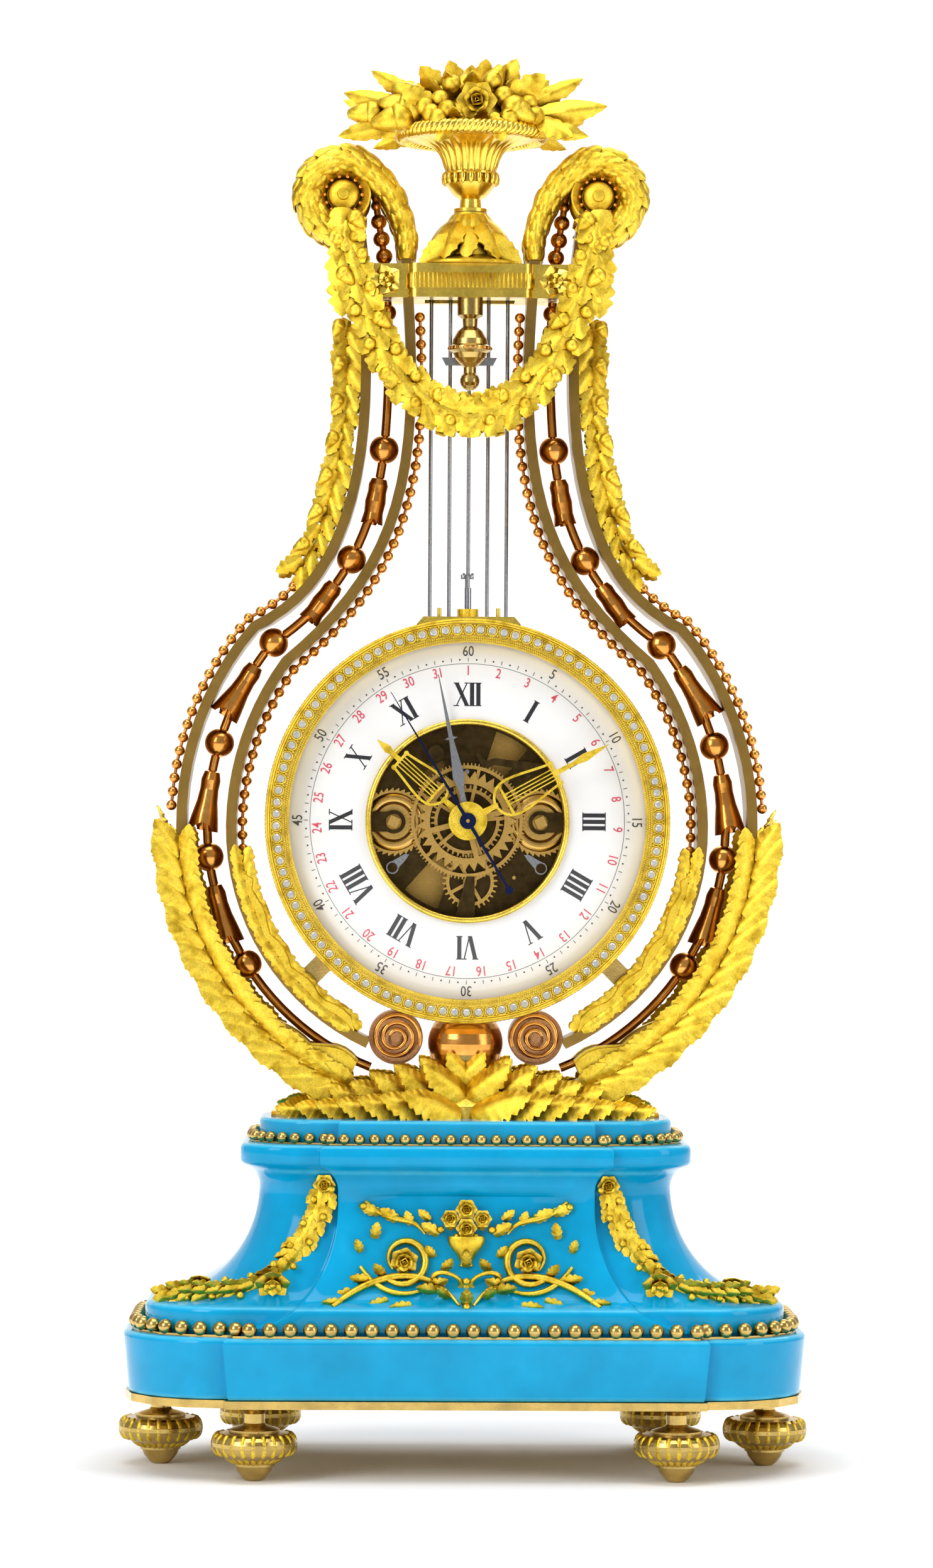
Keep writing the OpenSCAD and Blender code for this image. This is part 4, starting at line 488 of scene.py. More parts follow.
def dark_plates():
    shade = colours().dark
    return grained_metal("dark movement plates", shade, times(shade, 2.2), (0.25, 4.0), (0.32, 0.55),
                         (0.25, 0.1), relief=(2.0, 4.0))


def polished_steel(name, shade):
    return grained_metal(name, times(shade, 0.7), shade, (1.5, 4.0, 0.6), (0.12, 0.30),
                         (0.12, 0.08), stretch=(3.0, 1.0, 0.4))


def bell_metal():
    return grained_metal("bell metal", (0.30, 0.20, 0.09), (0.52, 0.38, 0.18), (0.6, 4.0),
                         (0.22, 0.4), (0.1, 0.2))


def paste_stone():
    f = Finish("paste stone")
    tint = f.noise(0.35, 2.0)
    f.colour(f.ramp(tint, [(0.35, (0.80, 0.84, 0.88)), (0.65, (0.97, 0.98, 1.0))]))
    f.rough(tint, 0.0, 0.03)
    return f.done(IOR=1.6, Metallic=0.35, Transmission_Weight=0.55, Coat_Weight=0.6)


def painted(name, shade):
    f = Finish(name)
    wash = f.noise(1.1, 3.0)
    f.colour(f.ramp(wash, [(0.3, shade), (0.75, times(shade, 1.35, 0.004))]))
    f.rough(wash, 0.18, 0.32)
    return f.done(Coat_Weight=0.4)


FINISHES = {}
# Solid parts whose finish differs from that of their slot
NODE_FINISH = {
    "yoke": "gilt_satin", "basket": "gilt_satin", "pendulum_ring": "gilt_satin",
    "rope_bezel": "gilt_satin", "leaf_mound": "gilt_satin", "rosettes": "gilt_satin",
    "feet": "gilt_bronze", "drop_finial": "gilt_bronze", "plinth_beads": "gilt_bronze",
    "cap_beads": "gilt_bronze", "tray": "gilt_bronze", "movement_bracket": "gilt_bronze",
    "husk_strings": "gilt_rose",
}


def prepare_finishes():
    c = colours()
    FINISHES.update(
        gilt=matte_gilding(), gilt_satin=satin_gilding("satin gilding", c.satin),
        gilt_bronze=satin_gilding("bronze gilding", c.bronze), gilt_rose=rose_gilding(),
        gilt_olive=brushed_gilding(), copper_scroll=copper_patina(), porcelain=turquoise_glaze(),
        enamel=white_enamel(), movement_brass=wheel_brass(), plates_dark=dark_plates(),
        steel=polished_steel("polished steel", c.steel),
        blued_steel=polished_steel("blued steel", c.blued), bell_metal=bell_metal(),
        paste=paste_stone(), ink=painted("black ink", c.ink), ink_grey=painted("grey ink", c.ink_grey),
        ink_red=painted("red ink", c.ink_red))


def finish_solid_parts():
    """Every solid part of the clock takes the finish of its slot, or its own."""
    for part in frame["record"]["subparts"]:
        obj = frame["nodes"][part["node"]]
        obj.data.materials.clear()
        obj.data.materials.append(FINISHES[NODE_FINISH.get(part["node"], part["material_slot"])])


# Shapes

def mesh_piece(name, verts, faces):
    """A piece whose surface is worked out point by point, in millimetres."""
    mesh = bpy.data.meshes.new(name)
    mesh.from_pydata([[c * MM for c in v] for v in verts], [], faces)
    mesh.update()
    return linked(name, mesh)


def ball(name, radius, segments=12, rings=8, scale=(1, 1, 1), tilt=0):
    """A ball, stretched and tilted to a lobe or a petal where that is asked."""
    bpy.ops.mesh.primitive_uv_sphere_add(segments=segments, ring_count=rings, radius=radius * MM)
    obj = added(name)
    obj.scale = scale
    obj.rotation_euler = (0, math.radians(tilt), 0)
    settle(obj)
    bpy.ops.object.shade_smooth()
    return obj


def grain(name, radius):
    bpy.ops.mesh.primitive_ico_sphere_add(subdivisions=1, radius=radius * MM)
    bpy.ops.object.shade_smooth()
    return added(name)


def hoop(name, major, minor, around, across, **place):
    bpy.ops.mesh.primitive_torus_add(major_radius=major * MM, minor_radius=minor * MM,
                                     major_segments=around, minor_segments=across, **place)
    return added(name)


def plate(name, width, height, x=0.0, y=0.0):
    """A flat rectangle, x to the right and y up."""
    bpy.ops.mesh.primitive_plane_add(size=1, location=(x * MM, y * MM, 0))
    obj = added(name)
    obj.scale = (width * MM, height * MM, 1)
    return settle(obj)


def tube(name, points, radius, fineness, closed=False, widths=None):
    """A round stem through points; widths gives its share of the radius at each point."""
    curve = bpy.data.curves.new(name, "CURVE")
    curve.dimensions = "3D"
    curve.bevel_depth = radius * MM
    curve.bevel_resolution = fineness
    curve.use_fill_caps = not closed
    curve.resolution_u = 1
    spline = curve.splines.new("POLY")
    spline.points.add(len(points) - 1)
    for i, place in enumerate(points):
        spline.points[i].co = (*[c * MM for c in place], 1)
        if widths:
            spline.points[i].radius = widths[i]
    spline.use_cyclic_u = closed
    select(linked(name, curve))
    bpy.ops.object.convert(target="MESH")
    return bpy.context.object


def stem(name, points, radius, y, deep=1.0):
    """A round stem along a line of the front, stretched in depth."""
    obj = tube(name, [(x, y, z) for x, z in points], radius, 3)
    for vertex in obj.data.vertices:
        vertex.co.y = y * MM + (vertex.co.y - y * MM) * deep
    return smooth(obj, 50)


def lathe(name, profile, centre, steps=48, axis="Y"):
    """A turned form from [radius, height] pairs, spun round an axis through the centre."""
    cx, cy, cz = centre
    points = [(cx + r, cy + h, cz) if axis == "Y" else (cx + r, cy, cz + h) for r, h in profile]
    mesh = bpy.data.meshes.new(name)
    mesh.from_pydata([[c * MM for c in p] for p in points], [(i, i + 1) for i in range(len(points) - 1)], [])
    obj = linked(name, mesh)
    edit(obj)
    bpy.ops.mesh.spin(steps=steps, angle=math.radians(360), center=[c * MM for c in centre],
                      axis=(0, 1, 0) if axis == "Y" else (0, 0, 1))
    end_edit()
    tidy_mesh(obj)
    return smooth(obj, 40)


def rope(name, centre, major, minor, strand, strands, turns, level):
    """A rope of twisted strands round a circle that lies level, or else faces the front."""
    made = []
    steps = turns * 8
    for k in range(strands):
        points = []
        for i in range(steps):
            around = 2 * math.pi * i / steps
            twist = turns * around + 2 * math.pi * k / strands
            r, up = major + minor * math.cos(twist), minor * math.sin(twist)
            x, z = r * math.cos(around), r * math.sin(around)
            point = (x, z, up) if level else (x, -up, z)
            points.append([p + c for p, c in zip(point, centre)])
        made.append(tube(name, points, strand, 1, closed=True))
    return smooth(join_pieces(name, made), 70)


def leaf_shape(name, length, half, lobes=4, deep=0.3, arch=0.18, curl=0.2, ridge=0.10, pointed=0.75,
               rows=15, thick=0.9):
    """A lobed leaf from a flat grid: it lies along +X from its foot, with a raised midrib,
    ribs that run out to its lobes, and a tip that curls up."""
    bpy.ops.mesh.primitive_grid_add(x_subdivisions=rows, y_subdivisions=6, size=2)
    leaf = added(name)
    for vertex in leaf.data.vertices:
        u = (vertex.co.x + 1) / 2
        s = vertex.co.y
        form = math.sin(math.pi * min(1, 0.10 + 0.90 * u) ** pointed) ** 0.8
        phase = (u * lobes + 0.15) % 1.0
        notch = 1 - deep * (1 - math.sin(math.pi * phase) ** 0.7) * min(1, 6 * (1 - u))
        width = max(0.04, form * notch)
        forward = 0.10 * abs(s) ** 1.5 * math.sin(math.pi * u)
        rise = ridge * (1 - abs(s)) ** 1.5 * math.sin(math.pi * min(1, u + 0.15))
        rise += arch * (1 - s * s) * form * 0.5
        rise += 0.05 * math.cos(2 * math.pi * phase) * abs(s) * form
        rise += curl * u ** 2.2
        vertex.co = Vector(((u + forward) * length, s * width * half, rise * length * 0.55)) * MM
    modify(leaf, "SOLIDIFY", thickness=thick * MM, offset=-1)
    return smooth(leaf, 55)


def acorn_shape(radius, name="acorn"):
    """An acorn along +X: a nut with a point, in a cup with a knurled rim."""
    nut = ball(name, radius, tilt=90)
    for vertex in nut.data.vertices:
        x = vertex.co.x / (radius * MM)
        vertex.co.x *= 1.45 if x > 0 else 0.9
        if x > 0.9:
            vertex.co.x += 0.35 * radius * MM
    cup = ball("cup", radius * 1.16, 12, 6, tilt=90)
    for vertex in cup.data.vertices:
        vertex.co.x = min(vertex.co.x - 0.3 * radius * MM, 0.05 * radius * MM)
    return join_pieces(name, [nut, cup])


def petal_ring(count, first, tilt, size=1.0, up=0.0):
    """Places for a ring of petals round +Z, tilted to a cup and raised."""
    return [moved(0, 0, up) @ turned(360 * i / count + first) @ turned(tilt, "Y") @ sized(size)
            for i in range(count)]


def flower_shape(radius, name="flower"):
    """A flower that faces up: cupped petals round a boss of stamens."""
    petals = 5
    petal = leaf_shape("petal", radius, radius * 0.52, lobes=1, deep=0.05, arch=0.5, curl=0.30, ridge=0.0,
                       pointed=0.62, rows=7, thick=0.8)
    outer = copies("outer_petals", petal, petal_ring(petals, 90, -14), keep=True)
    inner = copies("inner_petals", petal, petal_ring(petals, 90 + 180 / petals, -34, 0.62, 0.08 * radius))
    boss = ball("boss", radius * 0.2)
    boss.location.z = 0.22 * radius * MM
    return join_pieces(name, [boss, outer, inner])


def rose_shape(radius, name="rose"):
    """A full rose that faces up, its petals in closing rings."""
    petal = leaf_shape("petal", radius, radius * 0.60, lobes=1, deep=0.0, arch=0.5, curl=0.2, ridge=0.0,
                       pointed=0.55, rows=7, thick=0.7)
    places = []
    for count, tilt, size, up, first in ((6, -12, 1.0, 0.0, 0), (5, -38, 0.80, 0.10, 30),
                                         (4, -60, 0.60, 0.16, 10), (3, -76, 0.44, 0.2, 50)):
        places += petal_ring(count, first, tilt, size, up * radius)
    return copies(name, petal, places)


# Dial lettering

DIAL_HOLE, DIAL_EDGE, DIAL_FRONT, DIAL_DISH = 44, 83, -18, 6
LETTER_Y = -20
INK_LIFT = 0.08
ROMAN_R, DATE_R, CIRCLE_R, TRACK_R, MINUTE_R = 50.8, 66.4, 69.5, 71.4, 75.0
CIRCLE_LINE = 0.22
HOURS = ["XII", "I", "II", "III", "IIII", "V", "VI", "VII", "VIII", "IX", "X", "XI"]


def dial_front(radius):
    """Depth of the enamel's dished face, in millimetres."""
    share = (radius * radius - DIAL_HOLE ** 2) / (DIAL_EDGE ** 2 - DIAL_HOLE ** 2)
    return DIAL_FRONT + DIAL_DISH * share


def ink_on_dial(name, pieces, finish):
    """Lays flat lettering on the dished face."""
    obj = join_pieces(name, pieces)
    for vertex in obj.data.vertices:
        radius = math.hypot(vertex.co.x, vertex.co.z - Z_DIAL * MM) / MM
        vertex.co.y = (dial_front(radius) - INK_LIFT) * MM
    obj.data.update()
    hand_over(obj, finish)


def dial_place(radius, degrees):
    """A place on the dial, degrees clockwise from the top, with its top outwards."""
    x, z = at_angle(radius, 90 - degrees)
    return on_front(x, Z_DIAL + z, LETTER_Y, -degrees)


def stroke(x0, x1, z0, z1, width):
    """One slanted stroke of a letter, from its start to its end."""
    obj = plate("stroke", width, z1 - z0, (x0 + x1) / 2, (z0 + z1) / 2)
    edit(obj)
    bpy.ops.mesh.subdivide(number_cuts=5)
    end_edit()
    for vertex in obj.data.vertices:
        share = (vertex.co.y / MM - z0) / (z1 - z0)
        vertex.co.x += (share - 0.5) * (x1 - x0) * MM
    return obj


def serif(x, z, half):
    return plate("serif", 2 * half, 0.42, x, z)


def roman_letter(letter, height):
    """A thick and thin capital with hairline serifs. Returns the piece and its width."""
    thick, thin, half_serif = 0.175 * height, 0.05 * height, 0.13 * height
    low, high = 0.2, height - 0.2
    if letter == "I":
        width = 0.27 * height
        parts = [stroke(0, 0, 0, height, thick), serif(0, low, half_serif), serif(0, high, half_serif)]
    elif letter == "V":
        width, half = 0.62 * height, 0.24 * height
        parts = [stroke(-half, 0, height, 0, thick), stroke(half, 0.02 * height, height, 0, thin),
                 serif(-half, high, half_serif), serif(half, high, 0.11 * height)]
    else:
        width, half = 0.6 * height, 0.23 * height
        parts = [stroke(-half, half, height, 0, thick), stroke(half, -half, height, 0, thin)]
        parts += [serif(x, z, 0.12 * height) for x in (-half, half) for z in (low, high)]
    return join_pieces("letter", parts), width


def roman_numbers():
    height = sizes().roman_height / MM
    letters = {c: roman_letter(c, height) for c in "IVX"}
    places = {c: [] for c in letters}
    for hour, word in enumerate(HOURS):
        x = -sum(letters[c][1] for c in word) / 2
        for c in word:
            width = letters[c][1]
            places[c].append(dial_place(ROMAN_R, 30 * hour) @ moved(x + width / 2, 0, 0))
            x += width
    made = [copies("letter", letters[c][0], places[c]) for c in letters]
    ink_on_dial("roman_numbers", made, "ink")


def ring_of_numbers(name, words, radius, height, finish):
    """Upright figures round the dial, the first at the top."""
    letter_share, boldness, narrow = 0.72, 0.045, 0.8
    made = []
    for i, word in enumerate(words):
        bpy.ops.object.text_add(location=(0, 0, 0))
        obj = added("number")
        obj.data.body = word
        obj.data.size = height / letter_share
        obj.data.align_x = "CENTER"
        obj.data.align_y = "CENTER"
        obj.data.offset = boldness * MM
        obj.data.resolution_u = 4
        select(obj)
        bpy.ops.object.convert(target="MESH")
        obj = bpy.context.object
        obj.matrix_world = dial_place(radius, 360 * i / len(words)) @ Matrix.Diagonal((narrow, 1, 1, 1))
        made.append(obj)
    ink_on_dial(name, made, finish)


def dial_numbers():
    s = sizes()
    ring_of_numbers("minute_numbers", ["60"] + [str(5 * i) for i in range(1, 12)], MINUTE_R,
                    s.minute_height, "ink_grey")
    ring_of_numbers("date_numbers", [str(i) for i in range(1, 32)], DATE_R, s.date_height, "ink_red")


def minute_track():
    """Short lines and dots between the dates and the minutes, and one fine circle."""
    bpy.ops.mesh.primitive_circle_add(vertices=8, radius=0.42 * MM, fill_type="NGON")
    dot = added("dot")
    made = [copies("ticks", plate("tick", 0.30, 1.7), [dial_place(TRACK_R, 6 * i) for i in range(60)]),
            copies("dots", dot, [dial_place(TRACK_R, 6 * i + 3) for i in range(60)])]
    centre = (0, LETTER_Y * MM, Z_DIAL * MM)
    bpy.ops.mesh.primitive_circle_add(vertices=180, radius=CIRCLE_R * MM, location=centre,
                                      rotation=(math.radians(90), 0, 0))
    line = settle(added("fine_circle"))
    edit(line)
    bpy.ops.mesh.extrude_region_move()
    grow = (CIRCLE_R + CIRCLE_LINE) / CIRCLE_R
    bpy.ops.transform.resize(value=(grow, 1, grow), center_override=centre)
    end_edit()
    ink_on_dial("minute_track", made + [line], "ink_grey")


# The jewelled ring

STONES, STONE_R = 102, 84.4


def ring_places(radius, y, count, first=0.0):
    angles = [first + 360 * i / count for i in range(count)]
    spots = [(*at_angle(radius, a), a) for a in angles]
    return [on_front(x, Z_DIAL + z, y, a) for x, z, a in spots]


def ring_jewels():
    """Cut stones, each in a rim, with claw beads between them."""
    bpy.ops.mesh.primitive_cone_add(vertices=8, radius1=2.05 * MM, radius2=1.15 * MM, depth=0.8 * MM,
                                    location=(0, 0, 0.9 * MM), end_fill_type="NGON")
    stone = added("stone")
    edit_some(stone, "polygons", lambda face: face.normal.z < -0.9)
    bpy.ops.mesh.extrude_region_move(TRANSFORM_OT_translate={"value": (0, 0, -0.75 * MM)})
    bpy.ops.transform.resize(value=(0.25, 0.25, 1))
    end_edit()
    settle(stone)
    jewels = copies("jewels", stone, ring_places(STONE_R, -22.55, STONES, 90))
    hand_over(jewels, "paste", "brilliants", body="pendulum")
    collet = hoop("collet", sizes().collet / MM, 0.34, 12, 5)
    bpy.ops.object.shade_smooth()
    hand_over(copies("collets", collet, ring_places(STONE_R, -23.35, STONES, 90)), "gilt", body="pendulum")
    places = []
    for r in (STONE_R - 1.75, STONE_R + 1.75):
        places += ring_places(r, -23.6, STONES, 90 + 180 / STONES)
    hand_over(copies("claw_beads", grain("pin", 0.55), places), "gilt", body="pendulum")


def ring_mouldings():
    """Rows of grains inside the stones, and ribs and beading outside them."""
    size = sizes().grain / MM
    places = []
    for k, (r, y) in enumerate(((79.25, -22.9), (80.2, -23.35), (81.1, -23.45))):
        places += ring_places(r, y, int(2 * math.pi * r / (2.05 * size)), k)
    hand_over(copies("ring_granulation", grain("grain", size), places), "gilt", body="pendulum")
    made = [hoop("rib", r, thin, 180, 8, location=(0, y * MM, Z_DIAL * MM), rotation=(math.radians(90), 0, 0))
            for r, thin, y in ((88.75, 0.5, -23.75), (87.75, 0.42, -23.95), (86.95, 0.32, -23.6))]
    hand_over(smooth(join_pieces("ring_ribs", made), 60), "gilt", body="pendulum")
    nicks = copies("ring_beading", grain("nick", 0.55), ring_places(89.0, -22.4, 300))
    hand_over(nicks, "gilt_rose", body="pendulum")


def rope_mouldings():
    hand_over(rope("dial_rope", (0, -19.35, Z_DIAL), 43.8, 0.72, 0.66, 3, 56, False), "gilt")
    hand_over(rope("basket_rope", (0, FINIAL_Y, Z_RIM - 3.4), 31.1, 1.9, 1.75, 3, sizes().rim_turns, True),
              "gilt_satin")


# Turned and fluted mounts

def yoke_flutes():
    """Upright reeds along the bowed front of the yoke, between its fillets."""
    half, flat_half, bow_r, front = 26.4, 23, 5, -17.65
    bpy.ops.mesh.primitive_cylinder_add(vertices=8, radius=0.62 * MM, depth=6.6 * MM)
    reed = added("reed")
    modify(reed, "BEVEL", width=0.25 * MM, segments=1, limit_method="ANGLE")
    smooth(reed, 50)
    count = int(53 / (sizes().flute / MM))
    places = []
    for i in range(count + 1):
        x = -half + 2 * half * i / count
        over = max(0.0, abs(x) - flat_half)
        y = front + (bow_r - math.sqrt(max(0, bow_r * bow_r - over * over)))
        places.append(moved(x, y, Z_YOKE + 7.5))
    hand_over(copies("yoke_reeds", reed, places), "gilt")


def yoke_rosettes():
    """A five-petalled rosette at each end of the yoke."""
    places = [on_front(side * 37.3, Z_YOKE + 7.5, -14.6, 90) for side in SIDES]
    hand_over(copies("yoke_rosettes", flower_shape(7.4, "rosette"), places), "gilt_satin", "rosettes")


# The cup and basket as [radius, height] pairs, and how many flutes hollow the basket
BASKET = [(0, 556.7), (7.4, 556.7), (7.5, 558.2), (4.9, 558.8), (4.6, 562.4), (7.4, 564.2), (10.4, 568),
          (11.4, 569.4), (10.6, 569.8), (10.6, 573.0), (12.0, 573.4), (12.0, 574.2), (11.0, 574.6),
          (11.4, 577), (12.2, 580), (13.6, 582.8), (16.0, 585.2), (19.6, 587.2), (24.4, 588.6),
          (30.6, 589.4), (31.4, 590.2), (30.4, 591.4), (20, 592.4), (0, 592.6)]
FLUTES = 24


def fluted_basket():
    """The cup and the trumpet-shaped basket, hollowed by upright flutes, with a gadrooned knop."""
    basket = lathe("fluted_basket", BASKET, (0, FINIAL_Y, 0), FLUTES * 6, "Z")
    for vertex in basket.data.vertices:
        x, y = vertex.co.x, vertex.co.y - FINIAL_Y * MM
        r, z = math.hypot(x, y) / MM, vertex.co.z / MM
        if 575 < z < 589 and r > 8:
            ridge = abs(math.cos(FLUTES * math.atan2(y, x) / 2))
            scale = 1 + (0.045 + 0.9 / r) * (ridge - 0.5)
            vertex.co.x, vertex.co.y = x * scale, y * scale + FINIAL_Y * MM
    hand_over(basket, "gilt_satin", "basket")
    lobe = ball("knop_lobe", 1.0, 8, 6, (1.2, 1.35, 3.0))
    places = [moved(0, FINIAL_Y, 0) @ turned(18 * i) @ moved(11.8, 0, 571.6) for i in range(20)]
    hand_over(copies("knop_gadroons", lobe, places), "gilt_satin")


def foot_gadroons():
    """Swelling lobes round the belly of each foot, and petals under them."""
    turns = [moved(x, y, 0) @ turned(15 * i) for x, y in FEET for i in range(24)]
    lobe = ball("lobe", 1.0, 10, 8, (3.0, 2.05, 5.1))
    petal = ball("petal", 1.0, 8, 6, (1.1, 1.5, 3.4), 52)
    hand_over(copies("foot_gadroons", lobe, [turn @ moved(15.9, 0, 16) for turn in turns]), "gilt")
    hand_over(copies("foot_petals", petal, [turn @ moved(11.2, 0, 9.6) for turn in turns]), "gilt")


def drop_beading():
    """A bead ring round the turned drop under the yoke."""
    places = [moved(x, -10 + y, 495.4) for x, y in [at_angle(9.0, 15 * i) for i in range(24)]]
    hand_over(copies("drop_beads", ball("drop_bead", 0.95, 8, 6), places), "gilt_rose")


# The pedestal's hollow-sided porcelain. A plan holds half width, half depth, corner radius,
# and the half width and half depth of the front block.

NECK = (91, 44, 30, 56, 48.8)
LIP = (140.5, 62.6, 37.55, 95.5, 67.4)
CORNICE = (99, 51.2, 22.4, 64, 56.0)
PANEL_SINK, PANEL_BORDER, PANEL_SLOPE = 3, 9.5, 1.2


def blend(a, b, t):
    return tuple(p + (q - p) * t for p, q in zip(a, b))


def block_edge(z):
    """Half width of the front block, which flares down to the lip."""
    top, low = Z_NECK - 7, Z_LIP + 3.5
    u = min(1.0, max(0.0, (top - z) / (top - low)))
    return NECK[3] + (LIP[3] - NECK[3]) * (1 - math.sqrt(1 - u * u))


def body_plan(z):
    u = (Z_NECK - z) / (Z_NECK - Z_BODY)
    p = blend(NECK, LIP, 1 - math.sqrt(max(0.0, 1 - u * u)))
    return p[:3] + (block_edge(z),) + p[4:]


def shrink(p, dx, dy):
    return (p[0] - dx, p[1] - dy, p[2] - (dx + dy) / 2, p[3] - dx, p[4] - dy)


def plan_points(p):
    """Points round a plan, with a rounded shoulder where the block meets the end."""
    w, d, r, bw, bd = p
    r = min(r, w - bw - 1, d - 1)
    arc = [at_angle(r, 7.5 * i) for i in range(13)]
    quarter = [(w - r + x, d - r + y) for x, y in arc]
    quarter += [(bw + (w - r - bw) * t, d) for t in (0.66, 0.33)]
    quarter += [(bw + 0.9, d), (bw + 0.25, d + 0.25), (bw, d + 0.9), (bw, bd - 0.7), (bw - 0.2, bd - 0.2),
                (bw - 0.8, bd)]
    quarter += [(bw * t, bd) for t in (0.9, 0.75, 0.5, 0.25, 0)]
    half = [(x, -y) for x, y in reversed(quarter)] + [(w, 0)] + quarter
    return half[:-1] + [(-x, y) for x, y in reversed(half)][:-1]


def face_depth(x, z):
    """Depth of the pedestal's front at a place: sunk panel, block or end."""
    w, d, r, bw, bd = body_plan(min(max(z, Z_BODY), Z_NECK - 1))
    if abs(x) < bw - PANEL_BORDER:
        return -(bd - PANEL_SINK)
    if abs(x) < bw:
        return -bd
    over = max(0.0, abs(x) - (w - r))
    return -(d - r + math.sqrt(max(0.0, r * r - over * over)))


def pedestal_levels():
    """Heights and plans from the lip up to the cornice."""
    levels = [(Z_LIP + 0.05, 1.8, 1.8), (Z_LIP + 0.5, 0.8, 0.8), (Z_LIP + 1.4, 0.15, 0.15),
              (Z_LIP + 2.4, 0, 0), (Z_LIP + 6, 0, 0), (Z_BODY - 3, 0, 0), (Z_BODY - 1.8, 0.1, 0.1),
              (Z_BODY - 0.9, 0.5, 0.5), (Z_BODY - 0.2, 1.4, 1.4), (Z_BODY + 0.25, 3.2, 2.8)]
    neck_top = ((0.12, 0.04), (0.25, 0.16), (0.36, 0.34), (0.45, 0.6), (0.52, 0.86), (0.57, 0.97), (0.62, 1))
    rows = []
    for z, dx, dy in levels:
        p = shrink(LIP, dx, dy)
        rows.append((z, p[:3] + (block_edge(z),) + p[4:]))
    for i in range(1, 25):
        z = Z_NECK - (Z_NECK - Z_BODY) * math.sin(math.radians(78 - 78 * i / 24))
        rows.append((z, body_plan(z)))
    for share, t in neck_top:
        rows.append((Z_NECK + (Z_CAP - Z_NECK) * share, blend(NECK, CORNICE, t)))
    for down, inset in ((2.4, 0.05), (1.5, 0.25), (0.8, 0.7), (0.3, 1.3), (0.05, 2.2)):
        rows.append((Z_CAP - down, shrink(CORNICE, inset, inset)))
    return rows


def porcelain_pedestal():
    verts, faces = [], []
    rows = pedestal_levels()
    low, high = Z_BODY + 1, Z_NECK - 0.5
    for z, plan in rows:
        points = plan_points(plan)
        for x, y in points:
            depth = 0.0
            if y < 0 and low < z < high and abs(x) < plan[3] - 2:
                inside = min(plan[3] - PANEL_BORDER - abs(x), z - low, high - z) / PANEL_SLOPE
                depth = PANEL_SINK * min(1.0, max(0.0, inside))
            verts.append((x, y + depth, z))
    n = len(points)
    for k in range(len(rows) - 1):
        for i in range(n):
            j = (i + 1) % n
            faces.append((k * n + i, k * n + j, (k + 1) * n + j, (k + 1) * n + i))
    faces.append(tuple(range(n - 1, -1, -1)))
    faces.append(tuple((len(rows) - 1) * n + i for i in range(n)))
    body = mesh_piece("porcelain_pedestal", verts, faces)
    tidy_mesh(body, 0.005)
    hand_over(smooth(body, 42), "porcelain", "pedestal")


# Leafwork of the lyre. A leaf or berry is [x, z, y, heading, size, lift, roll].

def swag_leaves():
    """The festoon of oak and laurel leaves that hangs from the volutes across the neck."""
    rng = random.Random(5)
    lowest = 466
    path = bezier((EYE_X - 1.5, EYE_Z - 13), (EYE_X - 6.5, EYE_Z - 58), (30, lowest), (0, lowest), 24)
    leaves, berries, nuts = [], [], []
    for k, (x, z, a) in enumerate(along(path, 7.6)):
        size = 0.74 + 0.28 * min(1, k / 14)
        for side in (-1, 1):
            leaves.append((x + rng.uniform(-0.6, 0.6), z, -20.5 - rng.uniform(0, 1.5),
                           a + side * (32 + rng.uniform(-8, 8)), size, 12 + rng.uniform(-5, 7), side * 14))
        leaves.append((x, z, -22.4, a + rng.uniform(-10, 10), 0.8, 8, 0))
        dx, dz = at_angle(4.6, a + 90 * (1 if k % 2 else -1))
        (nuts if k % 3 == 0 else berries).append((x + dx, z + dz, -24.4, a - 30, 1, 0, 0))
    upper = ((57, 556, -90, 1.0), (55.5, 549, -84, 1.0), (58.5, 549, -98, 1.0), (56.5, 540, -92, 1.3),
             (54, 536, -70, 1.0), (58.5, 537, -112, 1.0), (56, 528, -88, 1.15))
    leaves += [(x, z, -20.5, a, size, 6, 0) for x, z, a, size in upper]
    berries += [(56 + dx, 540 + dz, -23.5, 0, 0.95, 0, 0) for dx, dz in ((0, 0), (4.5, 3), (-4.5, 3))]
    leaf = leaf_shape("oak_leaf", 18, 6.6, lobes=4, deep=0.42, curl=0.16, ridge=0.16)
    made = [copies("swag_leaves", leaf, both_sides(leaves)),
            copies("swag_berries", ball("berry", 2.8), both_sides(berries)),
            copies("swag_acorns", acorn_shape(3.1), both_sides(nuts))]
    strap = ((56.5, 556), (57.2, 550), (56.6, 544), (55.4, 538))
    for side in SIDES:
        made.append(stem("strap", [(side * x, z) for x, z in strap], 3.0, -19.2, 0.8))
        made.append(stem("stem", [(side * x, z) for x, z in path], 2.6, -20.0))
    hand_over(join_pieces("swag_foliage", made), "gilt", "swag")


